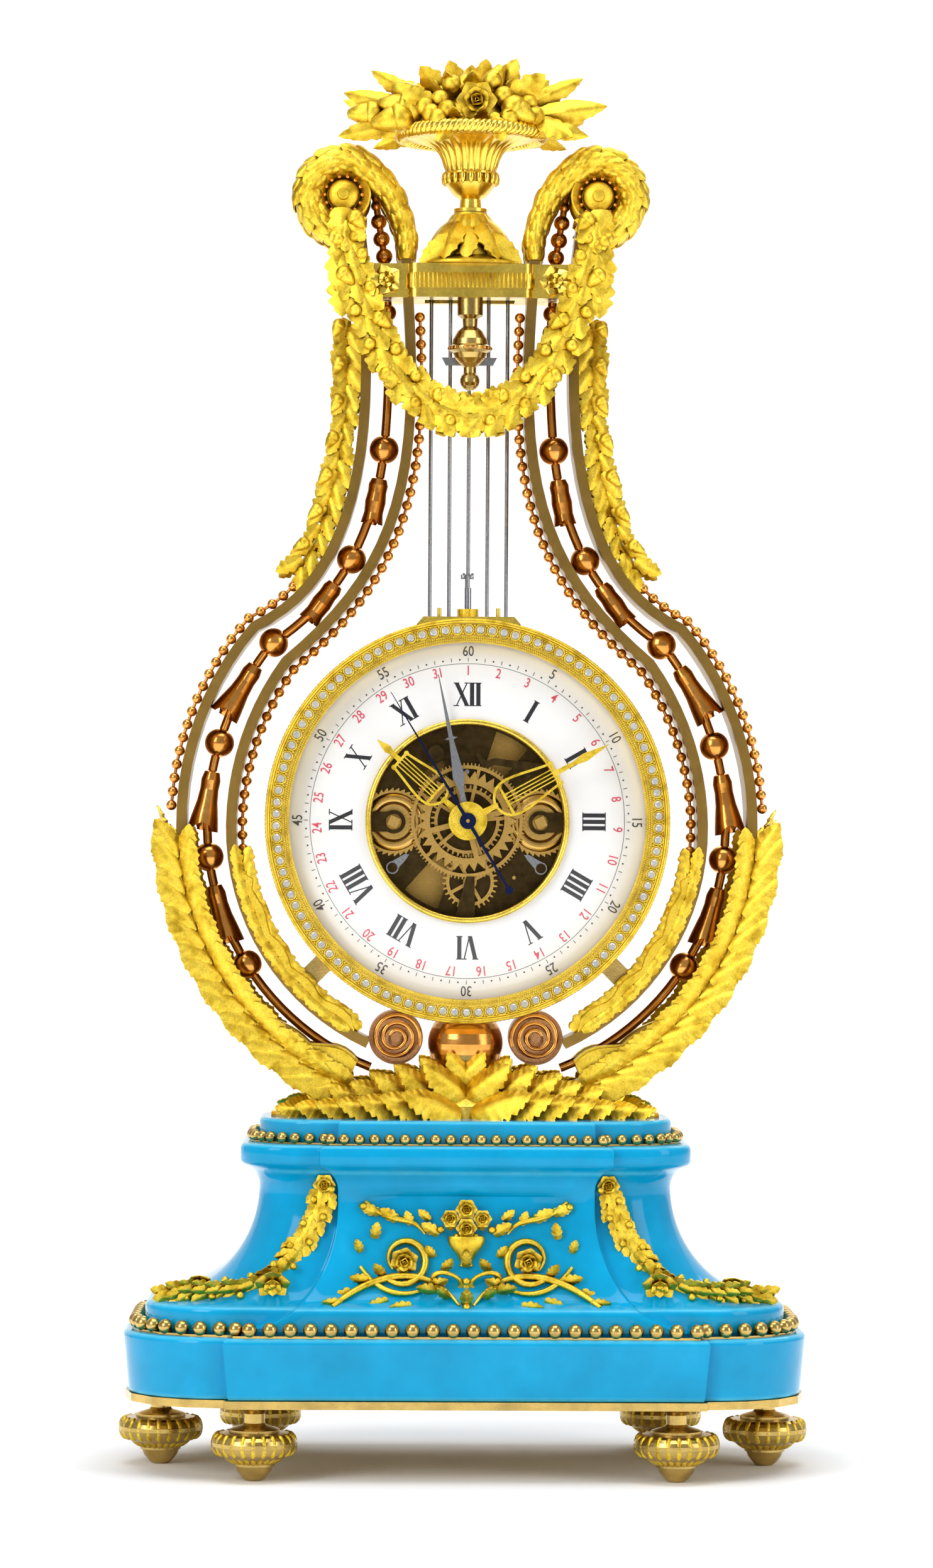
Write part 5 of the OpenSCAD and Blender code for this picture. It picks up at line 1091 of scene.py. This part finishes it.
def drop_leaves():
    """Oak leaves and acorns that hang down the outside of the outer bands."""
    rng = random.Random(11)
    path = [(54.5, 506), (54.2, 490), (54.8, 470), (58, 446), (62, 428), (68, 410), (74, 400)]
    leaves, nuts = [], []
    for k, (x, z, a) in enumerate(along(path, 8.6)):
        for side in (-1, 1):
            for y in (-8.5, 4.5):
                leaves.append((x, z + side * 2, y - rng.uniform(0, 1), a + side * (20 + rng.uniform(0, 14)),
                               0.9 + 0.12 * math.sin(k), 8, side * 16))
        if k % 2 == 0:
            dx, dz = at_angle(4.2, a + 70)
            nuts.append((x + dx, z + dz, -12.5, a + 25, 1, 0, 0))
    leaf = leaf_shape("oak_leaf", 14, 4.4, lobes=4, deep=0.42, curl=0.12)
    made = [copies("drop_leaves", leaf, both_sides(leaves)),
            copies("drop_acorns", acorn_shape(2.6), both_sides(nuts))]
    for side in SIDES:
        made.append(stem("stem", [(side * (x - 1.5), z) for x, z in path], 2.0, -5.0, 2.2))
    hand_over(join_pieces("oak_drops", made), "gilt", "leaf_drops")


def casing_leaves():
    """Acanthus that sheathes the outer bands below the dial's centre line, front, side and back."""
    rng = random.Random(3)
    items, sides = [], []
    pair = ((2.2, -26, 1.0, -15.8, 7, -22), (-1.0, 16, 0.74, -16.6, 8, 16))
    for k in range(17):
        a = -66 + 59 * k / 16
        for out, turn, size, y, lift, roll in pair:
            x, z = at_angle(OUTER_R + out, a)
            items.append((x, z + Z_OUTER, y - 0.25 * (k % 2), a + 90 + turn, size * (0.95 + 0.1 * (k % 2)),
                          lift, roll))
    front = leaf_shape("acanthus", 21, 6.4, lobes=5, deep=0.34, curl=0.16)
    made = [copies("casing_front", front, both_sides(items), keep=True)]
    flip = Matrix.Diagonal((1, -1, 1, 1))
    places = [moved(0, -y - 0.2, 0) @ flip @ on_front(x, z, 0, *rest) for x, z, y, *rest in mirrored(items)]
    made.append(copies("casing_back", front, places))
    for k in range(15):
        a = -64 + 58 * k / 14
        for y in (-9, -3, 3, 9):
            x, z = at_angle(OUTER_R + 4.6, a + (2 if abs(y) < 5 else 0))
            (dx, dz), (nx, nz) = at_angle(1, a + 90), at_angle(1, a)
            for side in SIDES:
                lie, normal = Vector((side * dx, 0, dz)), Vector((side * nx, 0, nz))
                place = facing((side * x, y, z + Z_OUTER), lie, normal)
                sides.append(place @ turned(-12, "Y") @ sized(0.78 + 0.1 * rng.random()))
    side_leaf = leaf_shape("acanthus_side", 21, 6.4, lobes=5, deep=0.34, curl=0.20)
    made.append(copies("casing_sides", side_leaf, sides))
    tips = [(x, z, y - 3, a, 0.9, 4, 0) for y in (-9, 0, 9) for x, z, a in ((128.5, 262, 78), (127, 258, 66))]
    tip_leaf = leaf_shape("tip_leaf", 19, 5.4, lobes=4, deep=0.3, curl=0.1)
    made.append(copies("casing_tips", tip_leaf, both_sides(tips)))
    hand_over(join_pieces("acanthus_sheaths", made), "gilt")


def inner_acanthus():
    """Acanthus along the inside of the inner bands."""
    items = []
    for k in range(13):
        a = -62 + 50 * k / 12
        for y in (-11.2, 0.5):
            for inset, ahead, nearer, turn, size, lift, roll in ((3.2, 0, 0, 24, 0.9, 5, 10),
                                                                 (1.6, 2, 1.6, 4, 0.72, 3, 0)):
                x, z = at_angle(INNER_R - inset, a + ahead)
                items.append((x, z + Z_INNER, y - nearer, a + 90 + turn, size, lift, roll))
    leaf = leaf_shape("acanthus", 15, 4.4, lobes=4, deep=0.34, curl=0.10)
    hand_over(copies("inner_acanthus", leaf, both_sides(items)), "gilt")


def volute_line():
    """From the yoke up round the eye of the right volute, as [x, z] points."""
    top_x, top_z = 28.5, 534.5
    dx, dz = at_angle(15.8, 128)
    start = (EYE_X + dx, EYE_Z + dz)
    reach_x, reach_z = at_angle(15, 38)
    rise = bezier((top_x, top_z + 0.3), (top_x - 1.5, top_z + 16), (start[0] - reach_x, start[1] - reach_z),
                  start, 8)
    roll = [at_angle(14.8 + (a + 96) / 224, a) for a in range(124, -97, -8)]
    return rise + [(EYE_X + x, EYE_Z + z) for x, z in roll]


def eye_disc(side):
    """A dished disc with a turned boss on each face, inside a volute."""
    profile = [(12.2, 12.6), (11.4, 13.2), (10.4, 12.0), (7.2, 8.6), (6.8, 8.6), (6.8, 11.0), (6.1, 12.6),
               (4.6, 13.4), (2.8, 14.0), (2.4, 15.2), (0, 15.7)]
    both = profile + [(r, -y) for r, y in reversed(profile)]
    return lathe("eye_disc", both, (side * EYE_X, 0, EYE_Z), 32)


def volute_leaves():
    """The rolls at the shoulders, wrapped in overlapping laurel scales."""
    line = volute_line()
    rows = 14
    forward = Vector((0, -1, 0))
    places = []
    for k, (x, z, heading) in enumerate(along(line, 4.6)):
        grow = min(1.0, 0.6 + k * 0.05)
        dx, dz = at_angle(1, heading)
        for side in SIDES:
            lie, out = Vector((side * dx, 0, dz)), Vector((-side * dz, 0, dx))
            for row in range(rows):
                u, v = at_angle(1, 360 * (row + 0.5 * (k % 2)) / rows)
                normal = (out * u + forward * v).normalized()
                if abs(u) > 0.3:
                    spot = out * math.copysign(3.6 * grow, u) + forward * v * 13.0
                else:
                    spot = out * u * 4.0 * grow + forward * v * 13.4
                place = facing(Vector((side * x, 0, z)) + spot, lie, normal)
                places.append(place @ turned(-6, "Y") @ sized(0.62 + 0.26 * grow))
    scale_leaf = leaf_shape("laurel_scale", 11.5, 3.9, lobes=1, deep=0.0, arch=0.5, curl=0.10, ridge=0.16,
                            pointed=0.7, rows=9, thick=0.8)
    made = [copies("volute_scales", scale_leaf, places)]
    for side in SIDES:
        made += [stem("roll", [(side * x, z) for x, z in line], 3.5, 0.0, 3.4), eye_disc(side)]
    hand_over(join_pieces("volute_foliage", made), "gilt", "volutes")
    beads = []
    for x, z in [at_angle(8.2, 360 * i / 14) for i in range(14)]:
        beads += [moved(side * EYE_X + x, face * 10.6, EYE_Z + z) for side in SIDES for face in SIDES]
    hand_over(copies("volute_eye_beads", ball("eye_bead", 0.95), beads), "gilt_rose")


def scroll_ridges():
    """The raised spirals on both faces of the copper scrolls."""
    spiral = [at_angle(11.0 - 8.4 * i / 60, 200 - 15 * i) for i in range(61)]
    made = [stem("ridge", [(side * (31 + x), 190 + z) for x, z in spiral], 1.05, face * 9.7)
            for side in SIDES for face in SIDES]
    hand_over(join_pieces("scroll_ridges", made), "gilt_rose")


def mound_leaves():
    """The leafy foot: acanthus that spreads along the cap and folds up to the ball."""
    items = []
    for k in range(7):
        x = 3 + 10.6 * k
        near = 1 - x / 80
        tall = 15.5 * (0.14 + 0.86 * max(0, math.cos(math.radians(min(90, x * 1.05)))) ** 1.3)
        depth = 8 + 19 * max(0, math.cos(math.radians(min(90, x * 1.02)))) ** 0.9
        for share, size, out in ((0.0, 1.0, 0), (0.5, 0.94, -4), (0.85, 0.8, -8)):
            items.append((x + out, Z_MOUND + 1.2 + tall * 0.7 * share, -depth * (1.04 - 0.7 * share),
                          6 + 40 * near * (0.35 + share), size * (0.5 + 0.5 * near ** 0.7),
                          20 - 8 * share, -40 + 14 * share))
    leaf = leaf_shape("acanthus", 30, 9.0, lobes=7, deep=0.30, curl=0.12, ridge=0.16, rows=24)
    front = both_sides(items)
    places = front + [turned(180) @ place for place in front]
    hand_over(copies("mound_foliage", leaf, places), "gilt")


# The finial

def stem_leaves():
    """Acanthus gathered round the stem under the basket."""
    big, little = [], []
    for i in range(12):
        x, y = at_angle(1, 30 * i)
        radial = Vector((x, y * (0.62 + 0.38 * abs(x)), 0))
        base = Vector((0, FINIAL_Y, Z_YOKE_TOP + 20)) + radial * 7.6
        big.append(facing(base, (radial * 16 + Vector((0, 0, -19))).normalized(),
                          (radial * 19 + Vector((0, 0, 16))).normalized()))
        radial = Vector((*at_angle(1, 30 * i + 15), 0))
        base = Vector((0, FINIAL_Y, Z_YOKE_TOP + 22.6)) + radial * 7.4
        little.append(facing(base, (radial * 6 + Vector((0, 0, -15))).normalized(),
                             (radial * 15 + Vector((0, 0, 6))).normalized()))
    big.append(on_front(0, Z_YOKE_TOP + 15, -12.0, -90, 0.95, 10, 0, 1.15))
    big += [on_front(side * 4, Z_YOKE_TOP + 12, -11.0, 270 + side * 55, 1.0, 8) for side in SIDES]
    leaf = leaf_shape("stem_leaf", 23, 7.2, lobes=5, deep=0.34, curl=-0.10, arch=0.3)
    small = leaf_shape("stem_leaf_small", 14, 4.4, lobes=4, deep=0.3, curl=-0.08, arch=0.3)
    profile = [(0, 532.7), (23.6, 532.7), (23.4, 533.6), (17.6, 535.2), (13.4, 537.4), (10.4, 541),
               (8.4, 545), (7.4, 550), (6.9, 554), (7.6, 554.4), (7.8, 555.4), (7.4, 556.4), (0, 556.6)]
    made = [copies("stem_big", leaf, big), copies("stem_small", small, little),
            lathe("stem_core", profile, (0, FINIAL_Y, 0), 48, "Z")]
    hand_over(join_pieces("stem_foliage", made), "gilt", "finial_stem")


def leaf_ring(count, first, radius, z, rise, size):
    """Places for leaves that spread outwards in a ring round the finial's axis."""
    places = []
    for i in range(count):
        x, y = at_angle(1, 360 * i / count + first)
        out = Vector((x, y, rise)).normalized()
        normal = out.cross(Vector((-y, x, 0)))
        places.append(facing((radius * x, FINIAL_Y + radius * y, z), out, normal) @ sized(size))
    return places


# The bouquet's leaves and buds as [x, height over the rim, y, heading, size]
LONG_LEAVES = [(-27, 1, -14, 193, 1.1), (-26, 6, -12, 168, 1.05), (-20, 9, -8, 150, 0.95),
               (26, 3, -12, 8, 1.15), (24, 8, -8, 26, 0.95), (24, 0, -16, -12, 0.95),
               (-22, 5, 12, 166, 1.2), (22, 5, 12, 14, 1.2), (-18, 3, 20, 200, 0.9), (18, 3, 20, -20, 0.9)]
BROAD_LEAVES = [(-10, 10, -8, 128, 1.1), (-5, 12, -5, 106, 0.95), (4, 12, -7, 82, 0.95),
                (11, 12, -8, 60, 1.05), (16, 8, -14, 40, 1.15), (-15, 4, -20, 150, 1.0),
                (-30, 3, -16, 225, 0.8), (30, 1, -18, -30, 0.9), (8, 2, -27, -60, 0.75),
                (-8, 1, -27, -120, 0.75), (0, 10, 12, 90, 1.1), (-12, 8, 14, 130, 1.0),
                (13, 8, 14, 50, 1.0), (18, 10, 0, 35, 1.1), (-18, 9, 0, 145, 1.1)]
BUDS = [(-34, 1, -20, 194, 2.2), (-32, 7, -18, 172, 2.0), (-46, 4, -15, 182, 1.9), (-28, 13, -14, 150, 1.7),
        (-28, 5, -18, 190, 1.9), (40, 3, -9, 0, 2.1), (9, 18, -14, 60, 1.9), (20, 5, -23, 330, 1.9),
        (-26, 8, 6, 170, 1.6), (30, 8, 6, 20, 1.6)]
# Its fruit as [x, y, height over the rim]
FRUIT = [(-18, -24.5, 3), (-11, -26, 4.5), (-14, -21, 9.5), (-3, -15, 17.5), (14, -21, 11.5), (28, -19, 3),
         (-24, -11, 11), (-15, -27, 0.5), (11, 20, 10), (-12, 20, 9), (20, -22, 7), (25, -16, 9),
         (16, -26, 1), (-21, -22, 6.5), (9, -18, 18.5), (-9, -17, 17)]


def bouquet_flowers():
    """The bouquet: long leaves to either side, roses, buds and fruit on a bed of leaves."""
    rng = random.Random(21)
    long_leaf = leaf_shape("long_leaf", 30, 5.0, lobes=6, deep=0.25, curl=0.10)
    broad_leaf = leaf_shape("broad_leaf", 19, 6.0, lobes=4, deep=0.3, curl=0.16)
    places = [on_front(x, Z_RIM + z, y, a, size, 5 if y < 0 else -8, rng.uniform(-20, 20))
              for x, z, y, a, size in LONG_LEAVES]
    made = [copies("long_leaves", long_leaf, places)]
    places = [on_front(x, Z_RIM + z, y, a, size, 14 if y < 0 else -14, rng.uniform(-25, 25))
              for x, z, y, a, size in BROAD_LEAVES]
    places += leaf_ring(16, 8, 25, Z_RIM - 1, 0.55, 0.55) + leaf_ring(12, 0, 12, Z_RIM + 11, 0.9, 0.8)
    made.append(copies("broad_leaves", broad_leaf, places))
    places = [on_front(2, Z_RIM + 8.5, -24, 0), on_front(-3, Z_RIM + 9, 22, 0) @ turned(180, "X"),
              moved(-20, -8, Z_RIM + 11) @ turned(35, "X") @ sized(0.7),
              moved(22, 2, Z_RIM + 11) @ sized(0.7)]
    made.append(copies("roses", rose_shape(9.5), places))
    places = [on_front(x, Z_RIM + z, y, a, size) for x, z, y, a, size in BUDS]
    made.append(copies("buds", acorn_shape(2.7, "bud"), places))
    made.append(copies("fruit", ball("fruit", 4.3), [moved(x, y, Z_RIM + z) for x, y, z in FRUIT]))
    bed = ball("bed", 1, 24, 12, (26, 25, 16))
    bed.location = (0, FINIAL_Y * MM, (Z_RIM - 1) * MM)
    settle(bed)
    for vertex in bed.data.vertices:
        vertex.co.z = max(vertex.co.z, (Z_RIM - 3) * MM)
    hand_over(join_pieces("bouquet_flowers", made + [bed]), "gilt", "bouquet")


# Leafwork of the pedestal

SHOULDER = 88


def shoulder_depth(x, z):
    """Depth of the pedestal's face, or beyond its shoulder the depth at which leaves stand on the lip."""
    if abs(x) < SHOULDER:
        return face_depth(x, z)
    past = abs(x) - SHOULDER
    return min(-1.0, face_depth(SHOULDER, max(z, 82)) + 0.05 * past + 0.0085 * past * past)


def on_face(x, z, heading=0, size=1.0, lift=0, roll=0, proud=0.0):
    """A place on the hollow front of the pedestal, leaning with its slope."""
    steepest = 0.6
    slope = (shoulder_depth(x, z + 2) - shoulder_depth(x, z - 2)) / 4
    lean = Matrix.Rotation(math.atan(max(-steepest, min(steepest, slope))), 4, "X")
    place = moved(x, shoulder_depth(x, z) - 0.4 - proud, z)
    return place @ lean @ on_front(0, 0, 0, heading, size, lift, roll)


def to_side(side, heading):
    return heading if side > 0 else 180 - heading


def garland_leaves():
    """Garlands over the shoulders of the pedestal, with a large flower on each."""
    rng = random.Random(2)
    path = [(62, 126), (63.5, 119), (68, 109), (74, 99), (80, 91), (87, 86), (97, 83), (108, 82), (118, 82),
            (128, 79)]
    leaves, berries = [], []
    for k, (x, z, a) in enumerate(along(path, 6.2)):
        for turn in (-1, 1):
            for s in (-1, 1):
                heading = a + turn * (34 + rng.uniform(-6, 6))
                leaves.append(on_face(s * x, z, to_side(s, heading), 0.78 + 0.12 * rng.random(), 14,
                                      turn * s * 12, 1.0))
        dx, dz = at_angle(3.4, a + (90 if k % 2 else -90))
        for s in SIDES:
            leaves.append(on_face(s * x, z, to_side(s, a), 0.75, 10, 0, 2.4))
            berries.append(on_face(s * (x + dx), z + dz, proud=3.4))
    leaf = leaf_shape("garland_leaf", 12.5, 3.8, lobes=3, deep=0.35, curl=0.12)
    flowers = [on_face(s * 84, 85, proud=3.5) for s in SIDES]
    flowers += [on_face(s * 116, 83.5, 30, 0.86, proud=3.2) for s in SIDES]
    knots = [on_face(s * 62, 127, proud=1.6) for s in SIDES]
    made = [copies("garland_leaves", leaf, leaves), copies("garland_berries", ball("berry", 1.7), berries),
            copies("garland_flowers", flower_shape(8.6), flowers),
            copies("garland_knots", rose_shape(5.2, "knot"), knots)]
    hand_over(join_pieces("garland_foliage", made), "gilt", "corner_garlands")


def face_scroll(points, radius):
    """A round stem laid on the pedestal along a line of [x, z] points, on both sides."""
    n = len(points) - 1
    widths = [0.35 + 0.65 * math.sin(math.pi * min(1, 0.15 + 0.85 * (1 - i / n))) for i in range(n + 1)]
    made = []
    for side in SIDES:
        line = [(side * x, face_depth(x, z) - radius * 0.8 - 0.6, z) for x, z in points]
        made.append(smooth(tube("face_scroll", line, radius, 2, widths=widths), 60))
    return made


# The panel ornament's leaves as [x, z, heading, size], on both sides and then on the middle line
PANEL_LEAVES = [(30, 112, 35, 0.8), (38, 115, 20, 0.75), (24, 110, 70, 0.6), (50, 82, -30, 0.9),
                (42, 86, 20, 0.8), (54, 77, 12, 0.75), (36, 88, 60, 0.7), (12, 82, 20, 0.9), (8, 79, 55, 0.7),
                (20, 88, -50, 0.7), (16, 84, 150, 0.8), (10, 90, 118, 0.7), (14, 96, 60, 0.6),
                (46, 98, 75, 0.6), (40, 104, 100, 0.7), (34, 78, -10, 0.8), (24, 76, 5, 0.8),
                (6, 108, 62, 0.7), (12, 106, 35, 0.8), (16, 112, 45, 0.6)]
MIDDLE_LEAVES = [(76, 90, 0.9), (92, 90, 0.7), (100, 90, 0.8), (86, -90, 0.8)]


def panel_ornament():
    """The gilt mount in the sunk panel: a vase of flowers, a ribbon, scrolls and acanthus."""
    spiral = [(a, 11 * (1 - 0.0012 * (320 - a))) for a in range(-40, 321, 15)]
    ring = [(27 + x, 95 + z) for x, z in [at_angle(r, a) for a, r in spiral]]
    made = face_scroll(ring, 1.7)
    made += face_scroll(bezier((18, 106), (24, 116), (32, 108), (44, 120), 14), 1.5)
    made += face_scroll(bezier((3, 76), (18, 96), (42, 88), (58, 75.5), 16), 1.7)
    made += face_scroll(bezier((16, 84), (26, 78), (38, 80), (46, 92), 12), 1.3)
    leaves = [on_face(s * x, z, to_side(s, a), size, 12, 0, 0.8)
              for s in SIDES for x, z, a, size in PANEL_LEAVES]
    leaves += [on_face(0, z, a, size, 10, 0, 1.2) for z, a, size in MIDDLE_LEAVES]
    leaf = leaf_shape("panel_leaf", 12, 3.6, lobes=4, deep=0.36, curl=0.12)
    made.append(copies("panel_leaves", leaf, leaves))
    blooms = [on_face(s * 27, 95, 20, 0.95, proud=1.6) for s in SIDES]
    blooms += [on_face(s * 7, 113, 0, 0.62, proud=3.2) for s in SIDES]
    blooms += [on_face(0, 117, 0, 0.72, proud=3.4), on_face(0, 109, 0, 0.7, proud=4)]
    made.append(copies("panel_blooms", rose_shape(7.0, "bloom"), blooms))
    vase = [(0, 0), (3.2, 0.3), (2.2, 2.2), (4.6, 6), (7.4, 9.5), (8.2, 12.5), (7.6, 14), (0, 14)]
    bowl = lathe("vase", vase, (0, 0, 0), 20, "Z")
    bowl.scale = (1, 0.5, 0.95)
    bowl.location = (0, (face_depth(0, 96) - 1.2) * MM, 92 * MM)
    made.append(settle(bowl))
    bow = hoop("bow", 4.6, 1.1, 20, 8)
    bow.scale = (1.4, 0.8, 1)
    settle(bow)
    bpy.ops.object.shade_smooth()
    made.append(copies("bows", bow, [on_face(s * 8, 86, to_side(s, 24), proud=1.4) for s in SIDES]))
    spots = ((0, 86), (-45, 118), (45, 118), (0, 75.8), (-11, 108), (11, 108), (-4, 105), (4, 105))
    made.append(copies("panel_berries", ball("berry", 1.7), [on_face(x, z, proud=2.6) for x, z in spots]))
    hand_over(join_pieces("panel_ornament", made), "gilt", "panel_mount")


# The stage

# The view's height and middle in the plane of the lyre, the camera's height, and the bare floor's reach
VIEW_HEIGHT, VIEW_Z, CAMERA_Z = 0.698, 0.3026, 0.2736
CAMERA_TURN, CAMERA_ROLL, SENSOR = -1.1, -0.35, 36
SHADOW_REACH = 0.17
LAMP_AIM = Vector((0, 0, 0.3))


def studio_paper():
    """White paper that glows well clear of the clock, so that the floor below keeps its shadow."""
    c, f = colours(), Finish("studio paper")
    f.colour(f.ramp(f.noise(0.004, 2.0), [(0.3, times(c.floor, 0.985)), (0.7, c.floor)]))
    path = f.node("ShaderNodeLightPath")
    seen = f.maths("MAXIMUM", path.outputs["Is Camera Ray"], path.outputs["Is Glossy Ray"])
    seen = f.maths("MAXIMUM", seen, path.outputs["Is Transmission Ray"])
    reach = f.node("ShaderNodeVectorMath", operation="LENGTH")
    f.join(f.stretched((MM / SHADOW_REACH, MM / SHADOW_REACH, 0.0)), reach.inputs[0])
    glow = f.node("ShaderNodeEmission", Color=(1, 1, 1, 1))
    clear_of = f.span(reach.outputs["Value"], 0, 0.62, 1.0, 1.7)
    f.join(f.maths("MULTIPLY", seen, clear_of), glow.inputs["Strength"])
    both = f.node("ShaderNodeAddShader")
    f.join(f.shader.outputs["BSDF"], both.inputs[0])
    f.join(glow.outputs["Emission"], both.inputs[1])
    f.join(both.outputs["Shader"], f.tree.nodes["Material Output"].inputs["Surface"])
    return f.done(Roughness=0.9)


def backdrop():
    """A floor that sweeps up into the background behind the clock."""
    bpy.ops.mesh.primitive_plane_add(size=14, location=(0, 1.0, 0))
    sweep = added("backdrop")
    points = sweep.data.vertices
    edit_some(sweep, "edges", lambda edge: all(points[v].co.y > 0 for v in edge.vertices))
    bpy.ops.mesh.select_mode(type="EDGE")
    bpy.ops.mesh.extrude_region_move(TRANSFORM_OT_translate={"value": (0, 0, 9)})
    end_edit()
    settle(sweep)
    modify(sweep, "BEVEL", width=1.5, segments=10, limit_method="ANGLE")
    smooth(sweep, 60)
    sweep.data.materials.append(studio_paper())


def soft_box(name, place, width, height, power):
    light = bpy.data.lights.new(name, "AREA")
    light.shape = "RECTANGLE"
    light.size = width
    light.size_y = height
    light.energy = power
    obj = linked(name, light)
    obj.location = place
    obj.rotation_euler = (LAMP_AIM - Vector(place)).to_track_quat("-Z", "Y").to_euler()


def lamps():
    soft_box("left box", (-1.7, -1.9, 1.5), 1.2, 1.6, 34)
    soft_box("right box", (2.0, -1.3, 1.0), 0.9, 1.6, 15)
    soft_box("top box", (0, -0.3, 2.4), 2.0, 1.6, 33)
    soft_box("back box", (0.4, 1.4, 1.6), 1.6, 1.0, 9)


def sky():
    """A grey room below, white above."""
    world = bpy.data.worlds.new("studio")
    world.use_nodes = True
    tree = world.node_tree
    coordinates = tree.nodes.new("ShaderNodeTexCoord")
    split = tree.nodes.new("ShaderNodeSeparateXYZ")
    spread = tree.nodes.new("ShaderNodeMapRange")
    spread.inputs["From Min"].default_value = -1
    ramp = tree.nodes.new("ShaderNodeValToRGB")
    stops = ((0.2, (0.30, 0.31, 0.33, 1)), (0.62, (0.95, 0.95, 0.96, 1)))
    for element, (position, shade) in zip(ramp.color_ramp.elements, stops):
        element.position = position
        element.color = shade
    background = tree.nodes["Background"]
    background.inputs["Strength"].default_value = 0.52
    for a, b in ((coordinates.outputs["Generated"], split.inputs["Vector"]),
                 (split.outputs["Z"], spread.inputs["Value"]),
                 (spread.outputs["Result"], ramp.inputs["Fac"]),
                 (ramp.outputs["Color"], background.inputs["Color"])):
        tree.links.new(a, b)
    bpy.context.scene.world = world


def camera():
    scene = bpy.context.scene
    scene.view_settings.view_transform = "Standard"
    distance = sizes().camera_distance
    data = bpy.data.cameras.new("camera")
    data.sensor_width = SENSOR
    data.lens = SENSOR * distance / VIEW_HEIGHT
    data.shift_y = (VIEW_Z - CAMERA_Z) / VIEW_HEIGHT
    data.clip_end = 50
    obj = linked("camera", data)
    turn = math.radians(CAMERA_TURN)
    obj.location = (distance * math.sin(turn), -distance * math.cos(turn), CAMERA_Z)
    obj.rotation_euler = (math.radians(90), math.radians(CAMERA_ROLL), turn)
    scene.camera = obj


# Operators, one for each piece or group of like pieces

def piece_operator(idname, label, text, *makers):
    """One operator class that makes a group of pieces."""

    def execute(self, context):
        for maker in makers:
            maker()
        return {"FINISHED"}

    return type("LYRECLOCK_OT_" + idname, (bpy.types.Operator,), {
        "bl_idname": "lyre_clock." + idname, "bl_label": label, "__doc__": text,
        "bl_options": {"REGISTER", "UNDO"}, "execute": execute})


OPERATORS = [
    piece_operator("finishes", "Finishes", "Make the finishes and give one to every solid part",
                   prepare_finishes, finish_solid_parts),
    piece_operator("pedestal", "Porcelain pedestal", "Make the hollow-sided porcelain pedestal",
                   porcelain_pedestal),
    piece_operator("feet", "Feet", "Add gadroons and petals to the feet", foot_gadroons),
    piece_operator("dial", "Dial lettering", "Letter the dial and draw its minute track",
                   roman_numbers, dial_numbers, minute_track),
    piece_operator("ring", "Jewelled ring", "Set the stones and finish the ring",
                   ring_jewels, ring_mouldings),
    piece_operator("ropes", "Rope mouldings", "Twist the ropes of the dial and the basket", rope_mouldings),
    piece_operator("mounts", "Turned mounts", "Reed the yoke, flute the basket and bead the drop",
                   yoke_flutes, yoke_rosettes, fluted_basket, drop_beading),
    piece_operator("swag", "Swag", "Make the swag of leaves", swag_leaves),
    piece_operator("drops", "Oak drops", "Make the oak leaves outside the bands", drop_leaves),
    piece_operator("sheaths", "Acanthus sheaths", "Sheathe the lower bands with acanthus",
                   casing_leaves, inner_acanthus),
    piece_operator("volutes", "Volutes", "Wrap the volutes with laurel", volute_leaves),
    piece_operator("foot_leaves", "Leafy foot", "Spread acanthus over the cap and ridge the scrolls",
                   mound_leaves, scroll_ridges),
    piece_operator("finial", "Finial leaves", "Gather acanthus round the stem", stem_leaves),
    piece_operator("bouquet", "Bouquet", "Fill the basket with leaves, roses and fruit", bouquet_flowers),
    piece_operator("garlands", "Garlands", "Hang garlands on the pedestal", garland_leaves),
    piece_operator("panel", "Panel ornament", "Lay the gilt ornament in the sunk panel", panel_ornament),
    piece_operator("stage", "Stage", "Set the backdrop, lamps and camera", backdrop, lamps, sky, camera),
]


class LYRECLOCK_PT_panel(bpy.types.Panel):
    """Sizes, colours and the steps that dress the clock"""
    bl_label = "Lyre Clock"
    bl_idname = "LYRECLOCK_PT_panel"
    bl_space_type = "VIEW_3D"
    bl_region_type = "UI"
    bl_category = "Lyre Clock"

    def draw(self, context):
        layout = self.layout
        for group in (context.scene.lyre_clock_sizes, context.scene.lyre_clock_colours):
            box = layout.box()
            for key in group.__annotations__:
                box.prop(group, key)
        for operator in OPERATORS:
            layout.operator(operator.bl_idname)


CLASSES = [LyreClockColours, LyreClockSizes, *OPERATORS, LYRECLOCK_PT_panel]


def register():
    for cls in CLASSES:
        bpy.utils.register_class(cls)
    bpy.types.Scene.lyre_clock_colours = PointerProperty(type=LyreClockColours)
    bpy.types.Scene.lyre_clock_sizes = PointerProperty(type=LyreClockSizes)


def unregister():
    del bpy.types.Scene.lyre_clock_sizes
    del bpy.types.Scene.lyre_clock_colours
    for cls in reversed(CLASSES):
        bpy.utils.unregister_class(cls)


def main():
    register()
    for operator in OPERATORS:
        step = operator.bl_idname.split(".")[1]
        getattr(bpy.ops.lyre_clock, step)()


if __name__ == "__main__":
    main()
